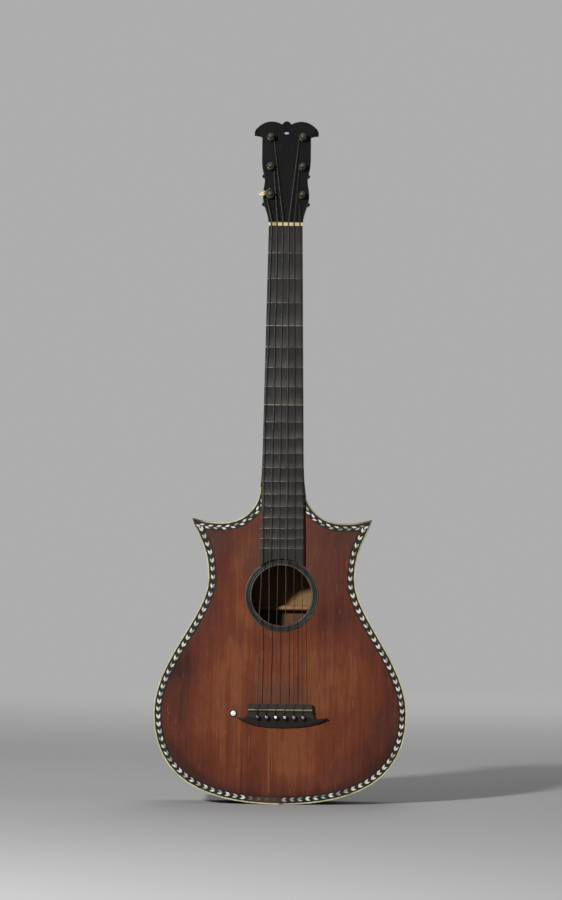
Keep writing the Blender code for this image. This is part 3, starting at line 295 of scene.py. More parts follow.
def soundboard_look():
    paint = Paint("varnished_spruce", specular=0.14)
    streaks = paint.noise((42, 42, 2.0), 3, 0.55, 3.1)
    bands = paint.noise((190, 190, 5.0), 3, 0.6, 11.7)
    grain = paint.noise((820, 820, 16.0), 2, 0.6, 5.3)
    drift = paint.noise((15, 15, 11.0), 4, 0.6, 1.9)
    blotches = paint.noise((64, 64, 26), 4, 0.65, 7.7)
    lower = paint.spot(0, 0.13, 0.17, 0.15, 0.48)
    upper = paint.spot(0, 0.29, 0.102, 0.165, 0.35)
    heart = paint.math("MAXIMUM", lower, upper)
    lighter = (  # x, z, reach across, reach up, gain
        (-0.052, 0.25, 0.046, 0.14, 0.03),
        (-0.0135, 0.05, 0.005, 0.075, 0.17),
        (0.02, 0.045, 0.046, 0.06, 0.07),
        (-0.058, 0.13, 0.012, 0.085, 0.08),
        (0.058, 0.17, 0.03, 0.07, 0.06),
        (0.006, 0.135, 0.052, 0.034, -0.07),
        (-0.11, 0.08, 0.07, 0.07, 0.02),
        (-0.135, 0.15, 0.04, 0.1, -0.14),
        (0.115, 0.11, 0.06, 0.09, -0.04),
    )
    tone = paint.total(
        *((streaks, 0.18), (bands, 0.25), (grain, 0.3), (drift, 0.41), (blotches, 0.32)),
        (heart, 0.22),
        *((paint.spot(*where, 0.1), gain) for *where, gain in lighter),
    )
    shades = ((50, 27, 23), (75, 38, 29), (95, 46, 31), (108, 56, 34), (122, 68, 40))
    base = paint.ramp(tone, (0.56, 0.7, 0.83, 0.94, 1.0), *shades)
    dull = paint.patches((26, 26, 12), 4, 0.6, 8.8, 0.5, 0.72)
    worn = paint.spot(0.002, 0.14, 0.056, 0.03, 0.2)
    corners = [paint.spot(hand * 0.098, 0.352, 0.045, 0.05, 0.15) for hand in (-1, 1)]
    beside = [paint.spot(hand * 0.044, 0.335, 0.042, 0.066) for hand in (1, -1)]
    bout = paint.spot(0, LOWER_HEIGHT, 0.158, 0.111, 0.9)
    rim = paint.times(paint.math("SUBTRACT", 1.0, bout), 0.55)
    rim = paint.times(rim, paint.between(paint.axis(2), 0.11, 0.085))
    lines = paint.patches((1300, 1300, 20), 1, 0.5, 2.2, 0.58, 0.72)
    marks = paint.patches((420, 420, 34), 2, 0.7, 6.1, 0.66, 0.78)
    crazing = paint.patches((36, 36, 760), 2, 0.6, 12.4, 0.63, 0.74)
    crazed = paint.times(crazing, paint.between(blotches, 0.45, 0.62))
    nicks = paint.specks((90, 90, 60), 0.12, 0.09, 4.0)
    dark = paint.specks((64, 64, 36), 0.16, 0.1, 9.0)
    cracks = (-0.0118, 0.038, 0.0006, 0.058, 0.4), (-0.0497, 0.03, 0.0006, 0.042, 0.4)
    base = paint.tint(
        base,
        ((82, 54, 45), dull, 0.55),
        ((88, 60, 46), worn, 0.55),
        *(((72, 50, 42), corner, 0.7) for corner in corners),
        ((76, 47, 42), beside[0], 0.58),
        ((76, 47, 42), beside[1], 0.3),
        ((50, 29, 24), rim),
        ((44, 22, 18), lines, 0.34),
        ((158, 96, 62), marks, 0.5),
        ((140, 88, 66), crazed, 0.32),
        ((172, 116, 92), nicks, 0.75),
        ((36, 20, 17), dark, 0.6),
        *(((30, 16, 14), paint.spot(*crack), 0.8) for crack in cracks),
        ((176, 140, 92), paint.math("GREATER_THAN", paint.axis(1), TOP_FACE + 0.0022)),
    )
    relief = paint.bump(nicks, -0.0002, paint.bump(grain, 0.00005))
    return paint.done(base, paint.between(drift, 0.3, 0.7, 0.38, 0.52), relief)


def rib_look():
    """Stained outside, pale where the unstained inside shows, and painted darker on the inside
    below the brace as painted shade.
    """
    paint = Paint("stained_maple", specular=0.25)
    shades = ((44, 22, 17), (70, 34, 24), (96, 48, 31))
    tone, grain, shade = wood(paint, 2, shades, coarse=26, places=(0.3, 0.5, 0.68))
    curl = paint.patches((9, 9, 75), 2, 0.5, 2.4, 0.48, 0.75, 0, 0.35)
    scuffs = paint.patches(60, 5, 0.7, 5.0, 0.62, 0.72)
    base = paint.tint(shade, ((118, 62, 38), curl), ((128, 82, 58), scuffs, 0.35))
    normal = paint.node("NewGeometry").outputs["Normal"]
    outwards = paint.vector("SUBTRACT", paint.place, (0, 0, 0.2))
    outwards = paint.vector("MULTIPLY", outwards, (1, 0, 1))
    facing = paint.vector("DOT_PRODUCT", outwards, normal)
    level = paint.math("LESS_THAN", paint.math("ABSOLUTE", paint.axis(1, normal)), 0.5)
    inner_sides = paint.times(paint.math("LESS_THAN", facing, 0.0), level)
    depth = paint.plus(paint.axis(1), paint.times(paint.axis(2), BACK_LEAN))
    ahead = paint.math("LESS_THAN", paint.axis(1, normal), -0.5)
    inner_back = paint.times(ahead, paint.math("GREATER_THAN", depth, 0.03))
    inside = paint.math("MAXIMUM", inner_sides, inner_back)
    pale = paint.ramp(tone, GRAIN_PLACES, (102, 76, 48), (138, 108, 70), (162, 130, 88))
    # painted shade: the unstained inside is painted darker below the brace
    low = paint.between(paint.axis(2), 0.252, 0.246)
    base = paint.blend(base, paint.tint(pale, ((84, 57, 38), low, 0.85)), inside)
    rough = paint.blend((0.34, 0.34, 0.34, 1), (0.85, 0.85, 0.85, 1), inside)
    return paint.done(base, rough, paint.bump(grain, 0.00004))


def inner_look():
    paint = Paint("bare_spruce", roughness=0.85, specular=0.2)
    shades = ((122, 88, 60), (154, 115, 80), (182, 143, 104))
    _, grain, shade = wood(paint, 2, shades, fine=500)
    dust = paint.patches(40, 4, 0.6, 1.0, 0.5, 0.7)
    base = paint.tint(shade, ((128, 106, 80), dust, 0.5))
    return paint.done(base, relief=paint.bump(grain, 0.00008))


def black_wood_look(name, along, shades, sheen, worn=(70, 58, 46), wear=0.35, specular=0.2):
    """Wood that is stained black, with faint grain, polish and rubbed places."""
    paint = Paint(name, specular=specular)
    _, grain, shade = wood(paint, along, shades, coarse=40, fine=900)
    rubbed = paint.patches(70, 5, 0.65, 4.2, 0.58, 0.72)
    base = paint.tint(shade, (worn, rubbed, wear))
    hazy = paint.patches(35, 3, 0.5, 9.1, 0.3, 0.7, *sheen)
    return paint.done(base, hazy, paint.bump(grain, 0.00004))


def board_look():
    """The fingerboard: grey with handling, paler towards the fret below."""
    paint = Paint("fingerboard_wood", specular=0.22)
    shades = ((16, 15, 15), (31, 29, 29), (52, 50, 48))
    _, grain, shade = wood(paint, 2, shades, coarse=60, fine=1000)
    patchy = paint.noise((60, 60, 26), 3, 0.6, 6.6)
    wear = paint.math("POWER", paint.attribute("wear")["Fac"], 1.6)
    pores = paint.patches((1500, 1500, 60), 1, 0.5, 1.1, 0.6, 0.72)
    widening = (BOARD_END_WIDTH - NUT_WIDTH) / 2 / (NUT_HEIGHT - HOLE_HEIGHT - RING_RADIUS)
    edge = paint.times(paint.math("SUBTRACT", NUT_HEIGHT, paint.axis(2)), widening)
    edge = paint.plus(paint.plus(edge, NUT_WIDTH / 2), paint.axis(0))
    rubbed = paint.times(paint.between(edge, 0.0046, 0.0026), patchy)
    rubbed = paint.times(rubbed, paint.between(paint.axis(2), 0.45, 0.395))
    scratches = paint.patches((560, 560, 9), 2, 0.6, 14.0, 0.64, 0.74)
    base = paint.tint(
        shade,
        ((98, 95, 92), paint.times(wear, patchy), 0.9),
        ((18, 16, 15), pores, 0.45),
        ((84, 68, 47), rubbed, 1.2),
        ((104, 101, 92), scratches, 0.35),
        ((20, 19, 18), paint.between(paint.axis(2), 0.52, 0.75), 0.54),
        ((34, 29, 25), paint.between(paint.axis(2), 0.41, 0.34), 0.26),
    )
    return paint.done(base, paint.between(patchy, 0.3, 0.7, 0.38, 0.52), paint.bump(grain, 0.00004))


def bone_look(name, light, dark, stain, slots=False, painted_shade_below=None, darker_above=None):
    """Old bone: yellowed, with brown fine lines. The stain is (place, reach, colour). Below one
    height the bone can be painted darker as shade, and above another it can be darker brown.
    """
    paint = Paint(name, specular=0.5)
    cloud = paint.noise(90, 4, 0.6, 2.0)
    lines = paint.patches((160, 160, 1400), 2, 0.6, 3.0, 0.62, 0.75)
    base = paint.tint(paint.ramp(cloud, (0.32, 0.62), dark, light), ((112, 88, 48), lines, 0.45))
    for string in STRINGS if slots else ():
        slot = paint.between(paint.away(0, string_x(string, NUT_HEIGHT)), 0.0014, 0.0007)
        base = paint.tint(base, ((62, 46, 24), slot, 0.85))
    base = paint.tint(base, (stain[2], paint.blob(stain[0], stain[1], 0.5), 0.8))
    # painted shade: below this height the bone is painted darker, so that only its top looks lit
    if painted_shade_below:
        low = paint.between(paint.axis(2), painted_shade_below + 0.0003, painted_shade_below - 0.0003)
        base = paint.tint(base, ((54, 49, 36), low, 0.85))
    # darker brown along the top, above this height
    if darker_above:
        high = paint.between(paint.axis(2), darker_above - 0.0004, darker_above + 0.0004)
        base = paint.tint(base, ((64, 46, 28), high, 0.8))
    return paint.clouded(base, cloud, (0.5, 0.34), 0.00004)


def binding_look():
    """Pale bone edge, stained near the horn tips, with dirt along its outer corner and painted
    shade on the treble shoulder.
    """
    paint = Paint("bone_binding", specular=0.25)
    cloud = paint.noise(60, 4, 0.6, 2.0)
    base = paint.ramp(cloud, (0.34, 0.58), (168, 162, 112), (206, 204, 162))
    tip, reach = (HORN_WIDTH / 2, TOP_FACE, HORN_HEIGHT), (0.026, 0.02, 0.02)
    base = paint.tint(
        base,
        ((196, 168, 148), paint.patches(24, 2, 0.5, 6.0, 0.54, 0.66), 0.6),
        ((70, 62, 44), paint.specks((40, 1, 40), 0.1, 0.06, 3.0), 0.7),
        ((38, 36, 29), paint.blob((-tip[0], *tip[1:]), reach), 0.96),
        ((38, 36, 29), paint.blob(tip, reach), 0.96),
        # painted shade: the treble shoulder's binding, turned away from the key light, is painted
        # dimmer
        ((122, 116, 86), paint.spot(0.085, 0.38, 0.075, 0.08, 0.6), 0.55),
        ((74, 60, 42), paint.spot(0.0025, 0.0005, 0.005, 0.004), 0.8),
        ((150, 128, 84), paint.between(paint.axis(1), TOP_FACE + 0.0012, TOP_FACE + 0.003), 0.8),
    )
    return paint.clouded(base, cloud, (0.5, 0.36), 0.00004)


def mastic_look():
    """The black filling that the pearl is set in, with its fine cracks."""
    paint = Paint("black_mastic", specular=0.22)
    cloud = paint.noise(130, 5, 0.65, 2.5)
    base = paint.ramp(cloud, (0.3, 0.55, 0.75), (14, 13, 12), (28, 26, 23), (58, 52, 42))
    feeds = {"Scale": 260, "Vector": paint.place}
    cells = paint.node("TexVoronoi", feeds, feature="DISTANCE_TO_EDGE")
    crack = paint.between(cells.outputs["Distance"], 0.05, 0.0)
    dust = paint.spot(-0.016, 0.005, 0.03, 0.01, 0.4)
    base = paint.tint(base, ((84, 74, 56), crack, 0.3), ((84, 56, 46), dust, 0.5))
    return paint.done(base, paint.between(cloud, 0.3, 0.7, 0.42, 0.62), paint.bump(crack, -0.00008))


def pearl_look():
    """Shell: each leaf has its own tone, with soft figure inside it."""
    paint = Paint("shell_inlay", roughness=0.28, specular=0.6, coat=0.4)
    tone = paint.attribute("tone")["Color"]
    figure = paint.noise(420, 3, 0.6, 1.4)
    hues = ((214, 236, 214), (250, 250, 246), (244, 222, 224))
    hue = paint.ramp(paint.noise(190, 2, 0.5, 8.3), (0.32, 0.48, 0.66), *hues)
    base = paint.blend(tone, hue, 0.75, "MULTIPLY")
    shade = paint.between(figure, 0.35, 0.65, 0.8, 1.0)
    grey = paint.node("CombineColor", {0: shade, 1: shade, 2: shade}).outputs[0]
    base = paint.blend(base, grey, 1.0, "MULTIPLY")
    return paint.clouded(base, figure, (0.22, 0.4), 0.00003)


def ring_look():
    """The soundhole's ring: turned dark wood, rubbed grey on its crests."""
    paint = Paint("turned_dark_wood", specular=0.25)
    away = paint.vector("SUBTRACT", paint.place, (0, 0, HOLE_HEIGHT))
    radius = paint.vector("LENGTH", paint.vector("MULTIPLY", away, (1, 0, 1)))
    share = paint.math("DIVIDE", paint.math("SUBTRACT", radius, HOLE_RADIUS), RING_WIDTH)
    base = paint.ramp(
        share,
        (0.0, 0.06, 0.18, 0.26, 0.34, 0.5, 0.56, 0.64, 0.78, 0.85, 0.9, 0.98, 1.0),
        *((54, 52, 48), (102, 100, 92), (64, 61, 59), (12, 12, 12), (33, 32, 31), (40, 38, 38)),
        *((6, 6, 6), (36, 35, 34), (28, 27, 27), (6, 6, 6)),
        *((86, 85, 74), (102, 101, 88), (46, 44, 40)),
    )
    cloud = paint.noise(120, 5, 0.65, 2.8)
    low = paint.between(paint.axis(2), HOLE_HEIGHT - 0.024, HOLE_HEIGHT - 0.044)
    base = paint.tint(
        base,
        ((56, 54, 50), paint.between(cloud, 0.5, 0.7, 0.0, 0.45)),
        ((24, 23, 21), paint.patches(48, 4, 0.6, 7.0, 0.48, 0.68, 0, 0.6)),
        ((30, 22, 16), low, 0.5),
    )
    return paint.clouded(base, cloud, (0.4, 0.6), 0.00004)


def cloudy_look(name, light, dark, scale, sheen=None, depth=None, **shader):
    """Two shades that cloud into each other."""
    paint = Paint(name, **shader)
    cloud = paint.noise(scale, 3, 0.6, 2.0)
    rough = paint.between(cloud, 0.3, 0.7, *sheen) if sheen else None
    relief = paint.bump(cloud, depth) if depth else None
    return paint.done(paint.ramp(cloud, (0.35, 0.62), dark, light), rough, relief)


def metal_look(name, light, dark, roughness, waves):
    """Tarnished metal."""
    scale, sheen = (waves, waves, waves * 0.4), (roughness + 0.12, roughness)
    return cloudy_look(name, light, dark, scale, sheen, 0.00002, metallic=0.75)


def gut_look(name, light, dark):
    return cloudy_look(name, light, dark, (700, 700, 60), (0.4, 0.55), specular=0.3)


def eye_look(name, light, dark):
    """The eye of a pin or a stud."""
    gloss = {"roughness": 0.25, "specular": 0.6, "coat": 0.3}
    return cloudy_look(name, light, dark, 800, depth=0.00003, **gloss)


def fret_look():
    """Old fret wire: some frets are bright, others dull."""
    paint = Paint("fret_metal", metallic=0.6, specular=0.4)
    each = 0.0
    for fret in BRIGHT_FRETS:
        near = paint.between(paint.away(2, fret_height(fret)), 0.004, 0.002)
        each = paint.math("MAXIMUM", each, near)
    cloud = paint.noise((190, 190, 90), 3, 0.6, 2.0)
    dull = paint.ramp(cloud, (0.35, 0.62), (64, 62, 56), (118, 116, 107))
    bright = paint.ramp(cloud, (0.35, 0.62), (120, 111, 90), (164, 158, 138))
    return paint.clouded(paint.blend(dull, bright, each), cloud, (0.48, 0.36), 0.00002)


def tuft_look():
    """Frayed thread, brown at its root and pale at its tip."""
    paint = Paint("frayed_thread", roughness=0.8, specular=0.2)
    cloud = paint.noise(260, 3, 0.6, 2.0)
    base = paint.ramp(cloud, (0.34, 0.6), (168, 150, 112), (232, 222, 194))
    root = paint.between(paint.axis(0), -0.0088, -0.0056)
    base = paint.tint(base, ((104, 82, 50), root, 0.85))
    return paint.done(base, relief=paint.bump(cloud, 0.00005))


BLACK_WOODS = {  # name, axis of the grain, three shades and sheen
    "neck": ("ebonised_neck", 2, ((16, 15, 14), (24, 23, 22), (36, 34, 31)), (0.38, 0.52)),
    "head": ("ebonised_head", 2, ((8, 8, 9), (14, 14, 14), (23, 22, 21)), (0.46, 0.6)),
    "bridge": ("ebonised_bridge", 0, ((30, 27, 25), (43, 39, 36), (59, 53, 47)), (0.38, 0.55)),
    "pegs": ("turned_pegs", 1, ((14, 13, 12), (22, 21, 19), (36, 33, 28)), (0.36, 0.5)),
    "posts": ("rubbed_posts", 1, ((34, 32, 21), (54, 51, 35), (82, 78, 54)), (0.42, 0.58)),
    "grips": ("thumb_pieces", 1, ((12, 11, 10), (19, 18, 16), (32, 29, 24)), (0.55, 0.7)),
}
UNLIKE = {  # what else differs from the plain black wood
    "head": {"wear": 0.12, "specular": 0.09},
    "bridge": {"worn": (74, 64, 54)},
    "pegs": {"specular": 0.3},
    "posts": {"worn": (108, 103, 74), "specular": 0.42},
    "grips": {"specular": 0.07},
}
NUT_STAIN = (-0.0148, BOARD_FACE, NUT_HEIGHT + 0.002), (0.005, 1, 1), (160, 126, 52)
SADDLE_STAIN = (-0.026, SADDLE_CREST, SADDLE_HEIGHT), (0.01, 1, 1), (112, 78, 52)
NUT_BONE, SADDLE_BONE = ((218, 203, 150), (180, 162, 107)), ((158, 154, 98), (122, 117, 70))
NUT_DARKER_FROM, SADDLE_SHADE_HEIGHT = NUT_HEIGHT + 0.0041, SADDLE_HEIGHT + 0.0002

LOOKS = {
    "soundboard": soundboard_look(),
    "ribs": rib_look(),
    "inner": inner_look(),
    **{look: black_wood_look(*row, **UNLIKE.get(look, {})) for look, row in BLACK_WOODS.items()},
    "board": board_look(),
    "binding": binding_look(),
    "nut": bone_look("bone_nut", *NUT_BONE, NUT_STAIN, True, darker_above=NUT_DARKER_FROM),
    # the saddle is painted shaded below its crest
    "saddle": bone_look("bone_saddle", *SADDLE_BONE, SADDLE_STAIN, painted_shade_below=SADDLE_SHADE_HEIGHT),
    "mastic": mastic_look(),
    "pearl": pearl_look(),
    "ring": ring_look(),
    "frets": fret_look(),
    "wound": metal_look("overspun", (84, 82, 75), (44, 42, 38), 0.45, 1600),
    "gut": gut_look("gut", (84, 78, 66), (48, 44, 36)),
    "thin_gut": gut_look("thin_gut", (50, 46, 38), (28, 26, 22)),
    "turns_wound": metal_look("tarnished_turns", (112, 106, 78), (60, 57, 40), 0.36, 1200),
    "twisted_end": gut_look("twisted_end", (150, 132, 100), (70, 58, 40)),
    "tuft": tuft_look(),
    "eye_white": eye_look("white_eye", (252, 252, 250), (226, 226, 222)),
    "eye_pale": eye_look("pale_eye", (212, 211, 204), (120, 118, 112)),
    "eye_grey": eye_look("grey_eye", (168, 166, 158), (66, 64, 60)),
    "eye_dark": eye_look("dark_eye", (86, 84, 80), (50, 48, 45)),
}


# Making a piece


def linked(name, data):
    """A new object in the scene."""
    thing = bpy.data.objects.new(name, data)
    bpy.context.scene.collection.objects.link(thing)
    return thing


def coat(thing, look):
    thing.data.materials.clear()
    thing.data.materials.append(LOOKS[look])


def place(name, data, look, body="root", slot=None, stands_for=(), at=None):
    """A piece of the scene that moves with a body of the solids."""
    piece = linked(name, data)
    coat(piece, look)
    if at:
        piece.matrix_world = at
    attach(piece, body)
    if stands_for:
        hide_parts(*stands_for)


def from_bmesh(name, shape, sharper_than=35):
    bmesh.ops.recalc_face_normals(shape, faces=shape.faces)
    mesh = bpy.data.meshes.new(name)
    shape.to_mesh(mesh)
    shape.free()
    mesh.shade_smooth()
    mesh.set_sharp_from_angle(angle=radians(sharper_than))
    return mesh


def skin(shape, loops, capped=False):
    """Faces between neighbouring loops of vertices, and over both ends."""
    for first, second in zip(loops, loops[1:]):
        for i in range(len(first)):
            j = (i + 1) % len(first)
            shape.faces.new((first[i], first[j], second[j], second[i]))
    if capped:
        shape.faces.new(loops[0])
        shape.faces.new(loops[-1][::-1])


def turned(name, profile, sides, lay=None, sharper_than=35):
    """A profile of (radius, height), turned round Z. A radius of 0 makes a point."""
    shape = bmesh.new()
    rings = []
    for radius, height in profile:
        turns = [tau * i / sides for i in range(sides if radius else 1)]
        spots = [(radius * cos(turn), radius * sin(turn), height) for turn in turns]
        rings.append([shape.verts.new(spot) for spot in spots])
    for upper, lower in zip(rings, rings[1:]):
        for i in range(sides):
            j = (i + 1) % sides
            corners = [ring[k % len(ring)] for ring, k in ((upper, i), (lower, i), (lower, j))]
            corners.append(upper[j % len(upper)])
            shape.faces.new(list(dict.fromkeys(corners)))
    if lay:
        bmesh.ops.transform(shape, matrix=lay, verts=shape.verts)
    return from_bmesh(name, shape, sharper_than)


def rounded(count, radius, height, turn_to=pi / 2):
    """A turned profile's curve: its steps' (radius, height), from formulas of the turn."""
    turns = [turn_to * i / count for i in range(1, count + 1)]
    return [(radius(sin(turn)), height(cos(turn))) for turn in turns]


def new_curve(name, runs):
    """A curve with a straight-sided line through the points of each run."""
    curve = bpy.data.curves.new(name, "CURVE")
    for points in runs:
        spline = curve.splines.new("POLY")
        spline.points.add(len(points) - 1)
        for spot, point in zip(spline.points, points):
            spot.co = (*point, 1)
    return curve


def wire(name, runs, radius, look, body="root", slot=None, stands_for=(), at=None, sizes=()):
    """Round wires through the points of each run. The sizes thin them along their length."""
    curve = new_curve(name, runs)
    curve.dimensions = "3D"
    curve.bevel_depth = radius
    curve.bevel_resolution = 4
    curve.use_fill_caps = True
    for spline in curve.splines:
        for spot, size in zip(spline.points, sizes):
            spot.radius = size
        spline.use_smooth = True
    place(name, curve, look, body, slot, stands_for, at)


def curved(points, steps):
    """A smooth line through the points."""
    line = []
    for i in range(len(points) - 1):
        before = Vector(points[max(i - 1, 0)])
        start, end = Vector(points[i]), Vector(points[i + 1])
        after = Vector(points[min(i + 2, len(points) - 1)])
        second = 2 * before - 5 * start + 4 * end - after
        third = 3 * start - before - 3 * end + after
        for t in (k / steps for k in range(steps)):
            line.append(0.5 * (2 * start + (end - before) * t + second * t**2 + third * t**3))
    line.append(Vector(points[-1]))
    return line


# The body's outline, drawn as the solids draw it: lists of (point, direction)


def unit(x, y):
    size = hypot(x, y)
    return x / size, y / size


def bend(start, leaving, pull, end, arriving, hold, steps):
    """A curve that leaves and arrives at those angles, held by a share of its span."""
    span = dist(start, end)
    out, back = radians(leaving), radians(arriving)
    handles = (
        start,
        (start[0] + pull * span * cos(out), start[1] + pull * span * sin(out)),
        (end[0] - hold * span * cos(back), end[1] - hold * span * sin(back)),
        end,
    )
    line = []
    for t in (i / steps for i in range(steps + 1)):
        weights = ((1 - t) ** 3, 3 * t * (1 - t) ** 2, 3 * t**2 * (1 - t), t**3)
        slopes = ((1 - t) ** 2, 2 * t * (1 - t), t**2)
        point = tuple(sum(w * h[k] for w, h in zip(weights, handles)) for k in (0, 1))
        pairs = list(zip(slopes, handles, handles[1:]))
        line.append((point, unit(*(sum(w * (b[k] - a[k]) for w, a, b in pairs) for k in (0, 1)))))
    return line


LOWER, WAIST = (LOWER_WIDTH / 2, LOWER_HEIGHT), (WAIST_WIDTH / 2, WAIST_HEIGHT)
HORN, DIP = (HORN_WIDTH / 2, HORN_HEIGHT), (DIP_WIDTH / 2, DIP_HEIGHT)
ROOT = (ROOT_WIDTH / 2, BODY_LENGTH)
SIDE = bend((0, 0), 0, 0.41, LOWER, 90, 0.47, 13)
SIDE += bend(LOWER, 90, 0.36, WAIST, 90, 0.26, 12)[1:]
SIDE += bend(WAIST, 90, 0.49, HORN, 73, 0.35, 6)[1:]
SHOULDER = bend(HORN, 198, 0.32, DIP, 180, 0.35, 4) + bend(DIP, 180, 0.44, ROOT, 90, 0.37, 9)[1:]


def offset(line, inward):
    return [(x - inward * dy, y + inward * dx) for (x, y), (dx, dy) in line]


def crossing(first, second):
    """Both lines, cut at the point where they cross."""
    for i in range(len(first) - 1, 0, -1):
        (ax, ay), (bx, by) = first[i - 1], first[i]
        for j in range(len(second) - 1):
            (cx, cy), (dx, dy) = second[j], second[j + 1]
            turn = (bx - ax) * (dy - cy) - (by - ay) * (dx - cx)
            if not turn:
                continue
            s = ((cx - ax) * (dy - cy) - (cy - ay) * (dx - cx)) / turn
            t = ((cx - ax) * (by - ay) - (cy - ay) * (bx - ax)) / turn
            if 0 <= s <= 1 and 0 <= t <= 1:
                corner = (ax + s * (bx - ax), ay + s * (by - ay))
                return first[:i] + [corner], [corner] + second[j + 1 :]
    return first, second


def half(inward):
    side, shoulder = crossing(offset(SIDE, inward), offset(SHOULDER, inward))
    return side + shoulder[1:]


def at_distance(line, far):
    """The point and direction that far along a line."""
    for (a, way), (b, next_way) in zip(line, line[1:]):
        step = dist(a, b)
        if far <= step:
            t = far / step
            point = tuple(p + t * (q - p) for p, q in zip(a, b))
            return point, unit(*(p + t * (q - p) for p, q in zip(way, next_way)))
        far -= step
    return line[-1]


# Edge inlay


def make_band():
    outer, inner = half(BAND_START), half(BAND_START + BAND_WIDTH)
    left_outer = [(-x, z) for x, z in reversed(outer)][:-1]
    loop = left_outer + outer + inner[::-1] + [(-x, z) for x, z in inner[1:]]
    curve = new_curve("band", [[(x, z, 0) for x, z in loop]])
    curve.dimensions = "2D"
    curve.fill_mode = "BOTH"
    curve.extrude = BAND_DEPTH / 2
    curve.splines[0].use_cyclic_u = True
    source = linked("band", curve)
    graph = bpy.context.evaluated_depsgraph_get()
    mesh = bpy.data.meshes.new_from_object(source.evaluated_get(graph))
    bpy.data.objects.remove(source)
    mesh.transform(Matrix.Translation((0, TOP_FACE + BAND_DEPTH / 2, 0)) @ FLAT)
    shape = bmesh.new()
    shape.from_mesh(mesh)
    bmesh.ops.remove_doubles(shape, verts=shape.verts, dist=0.000001)
    bpy.data.meshes.remove(mesh)
    band = from_bmesh("edge_band", shape)
    place("edge_band", band, "mastic", slot="edge_band", stands_for=("inlay_band",))


def leaf_corners(tip, way, across):
    """One leaf of shell: a slanting four-sided tile, a little uneven."""
    reach = PEARL_LENGTH - PEARL_ARM
    corners = []
    for u, w in ((0, PEARL_SEAM), (reach, 1), (PEARL_LENGTH, 1), (PEARL_ARM, PEARL_SEAM)):
        u += dice.uniform(-0.00022, 0.00022)
        w = across * (w * (PEARL_WIDTH / 2) + dice.uniform(-0.0001, 0.0001))
        corners.append((tip[0] + u * way[0] - w * way[1], tip[1] + u * way[1] + w * way[0]))
    return corners


BRIGHT = ((246, 246, 240), (234, 236, 226), (226, 224, 214), (240, 240, 236))
DULL = ((176, 180, 160), (158, 156, 148), (196, 182, 172), (140, 144, 128), (188, 190, 180))
GREYED = ((150, 142, 150), (176, 172, 178), (162, 160, 160))
WORN = ((120, 92, 84), (140, 112, 100), (116, 110, 92))
WORN_LEAVES = (0.25, 0.4, 0.7, 0.8)  # how much is left of each leaf beside the tail, bass side


def leaf_tone(outer, x):
    """In each pair the leaf on one side is brighter more often."""
    bright = 0.8 if outer == (x < 0) else 0.5
    return dice.choice(BRIGHT if dice.random() < bright else DULL)


def pearl_leaves():
    """Each leaf's tip, direction and side, and its number from the tail, or 99."""
    middle = BAND_START + BAND_WIDTH / 2
    side, _ = crossing(offset(SIDE, middle), offset(SHOULDER, middle))
    lost = dist(side[-1], SIDE[-1][0])
    runs = (
        (SIDE, PEARL_TAIL_LEAD, lost + PEARL_HORN_LEAD),
        (SHOULDER, lost - PEARL_PAST_CORNER, PEARL_NECK_LEAD + PEARL_STAGGER),
    )
    leaves = []
    for line, start, spare in runs:
        total = sum(dist(a[0], b[0]) for a, b in zip(line, line[1:]))
        room = total - start - spare - PEARL_LENGTH
        count = int(room / PEARL_PITCH) + 1
        for i in range(count):
            far = start + i * room / (count - 1)
            for across in (1, -1):
                step = PEARL_STAGGER if line is SHOULDER and across < 0 else 0
                spot = at_distance(line, far + step)
                tip = offset([spot], middle)[0]
                leaves.append((tip, spot[1], across, i if line is SIDE else 99))
    return leaves


def centre(corners):
    return [sum(c[k] for c in corners) / 4 for k in (0, 1)]


def make_pearls():
    shape = bmesh.new()
    tones = shape.verts.layers.float_color.new("tone")
    top, edge, foot = TOP_FACE - PEARL_PROUD, 0.00012, TOP_FACE + BAND_DEPTH / 2
    for tip, way, across, number in pearl_leaves():
        for hand in (1, -1):
            corners = leaf_corners(tip, way, across)
            middle = centre(corners)
            tone = leaf_tone(across < 0, hand * middle[0])
            if number < 2:
                tone = dice.choice(GREYED if hand > 0 else WORN)
            if number < len(WORN_LEAVES) and hand < 0:
                tone = dice.choice(WORN)
                left = WORN_LEAVES[number]
                aside = (1 - left) * across * way[1] * PEARL_WIDTH * 0.3
                lift = (1 - left) * 0.0006 * across
                corners = [(x + aside, tip[1] + (z - tip[1]) * left + lift) for x, z in corners]
                middle = centre(corners)
            rings = []
            for depth, inset in ((foot, 0), (top + edge, 0), (top, edge)):
                ring = []
                for corner in corners:
                    share = 1 - inset / dist(corner, middle)
                    x, z = (m + (c - m) * share for m, c in zip(middle, corner))
                    vertex = shape.verts.new((hand * x, depth, z))
                    vertex[tones] = colour(*tone)
                    ring.append(vertex)
                rings.append(ring)
            skin(shape, rings)
            shape.faces.new(rings[-1])
            shape.faces.new(rings[0][::-1])
    mesh = from_bmesh("shell_leaves", shape, 20)
    place("shell_leaves", mesh, "pearl", slot="edge_band", stands_for=("inlay_band",))


# Ring round the soundhole

RING_RISE = 0.0012
RING_STEPS = (  # share of the width, share of the rise
    *((0.0, 0.0), (0.0, 0.7), (0.06, 0.95), (0.12, 1.0), (0.17, 0.95), (0.2, 0.7)),
    *((0.25, 0.92), (0.3, 1.0), (0.45, 1.0), (0.49, 0.8), (0.52, 0.66), (0.55, 0.8)),
    *((0.59, 1.0), (0.84, 1.0), (0.88, 0.72), (0.92, 0.92), (0.97, 0.8), (1.0, 0.55)),
    *((1.0, 0.0), (0.0, 0.0)),
)


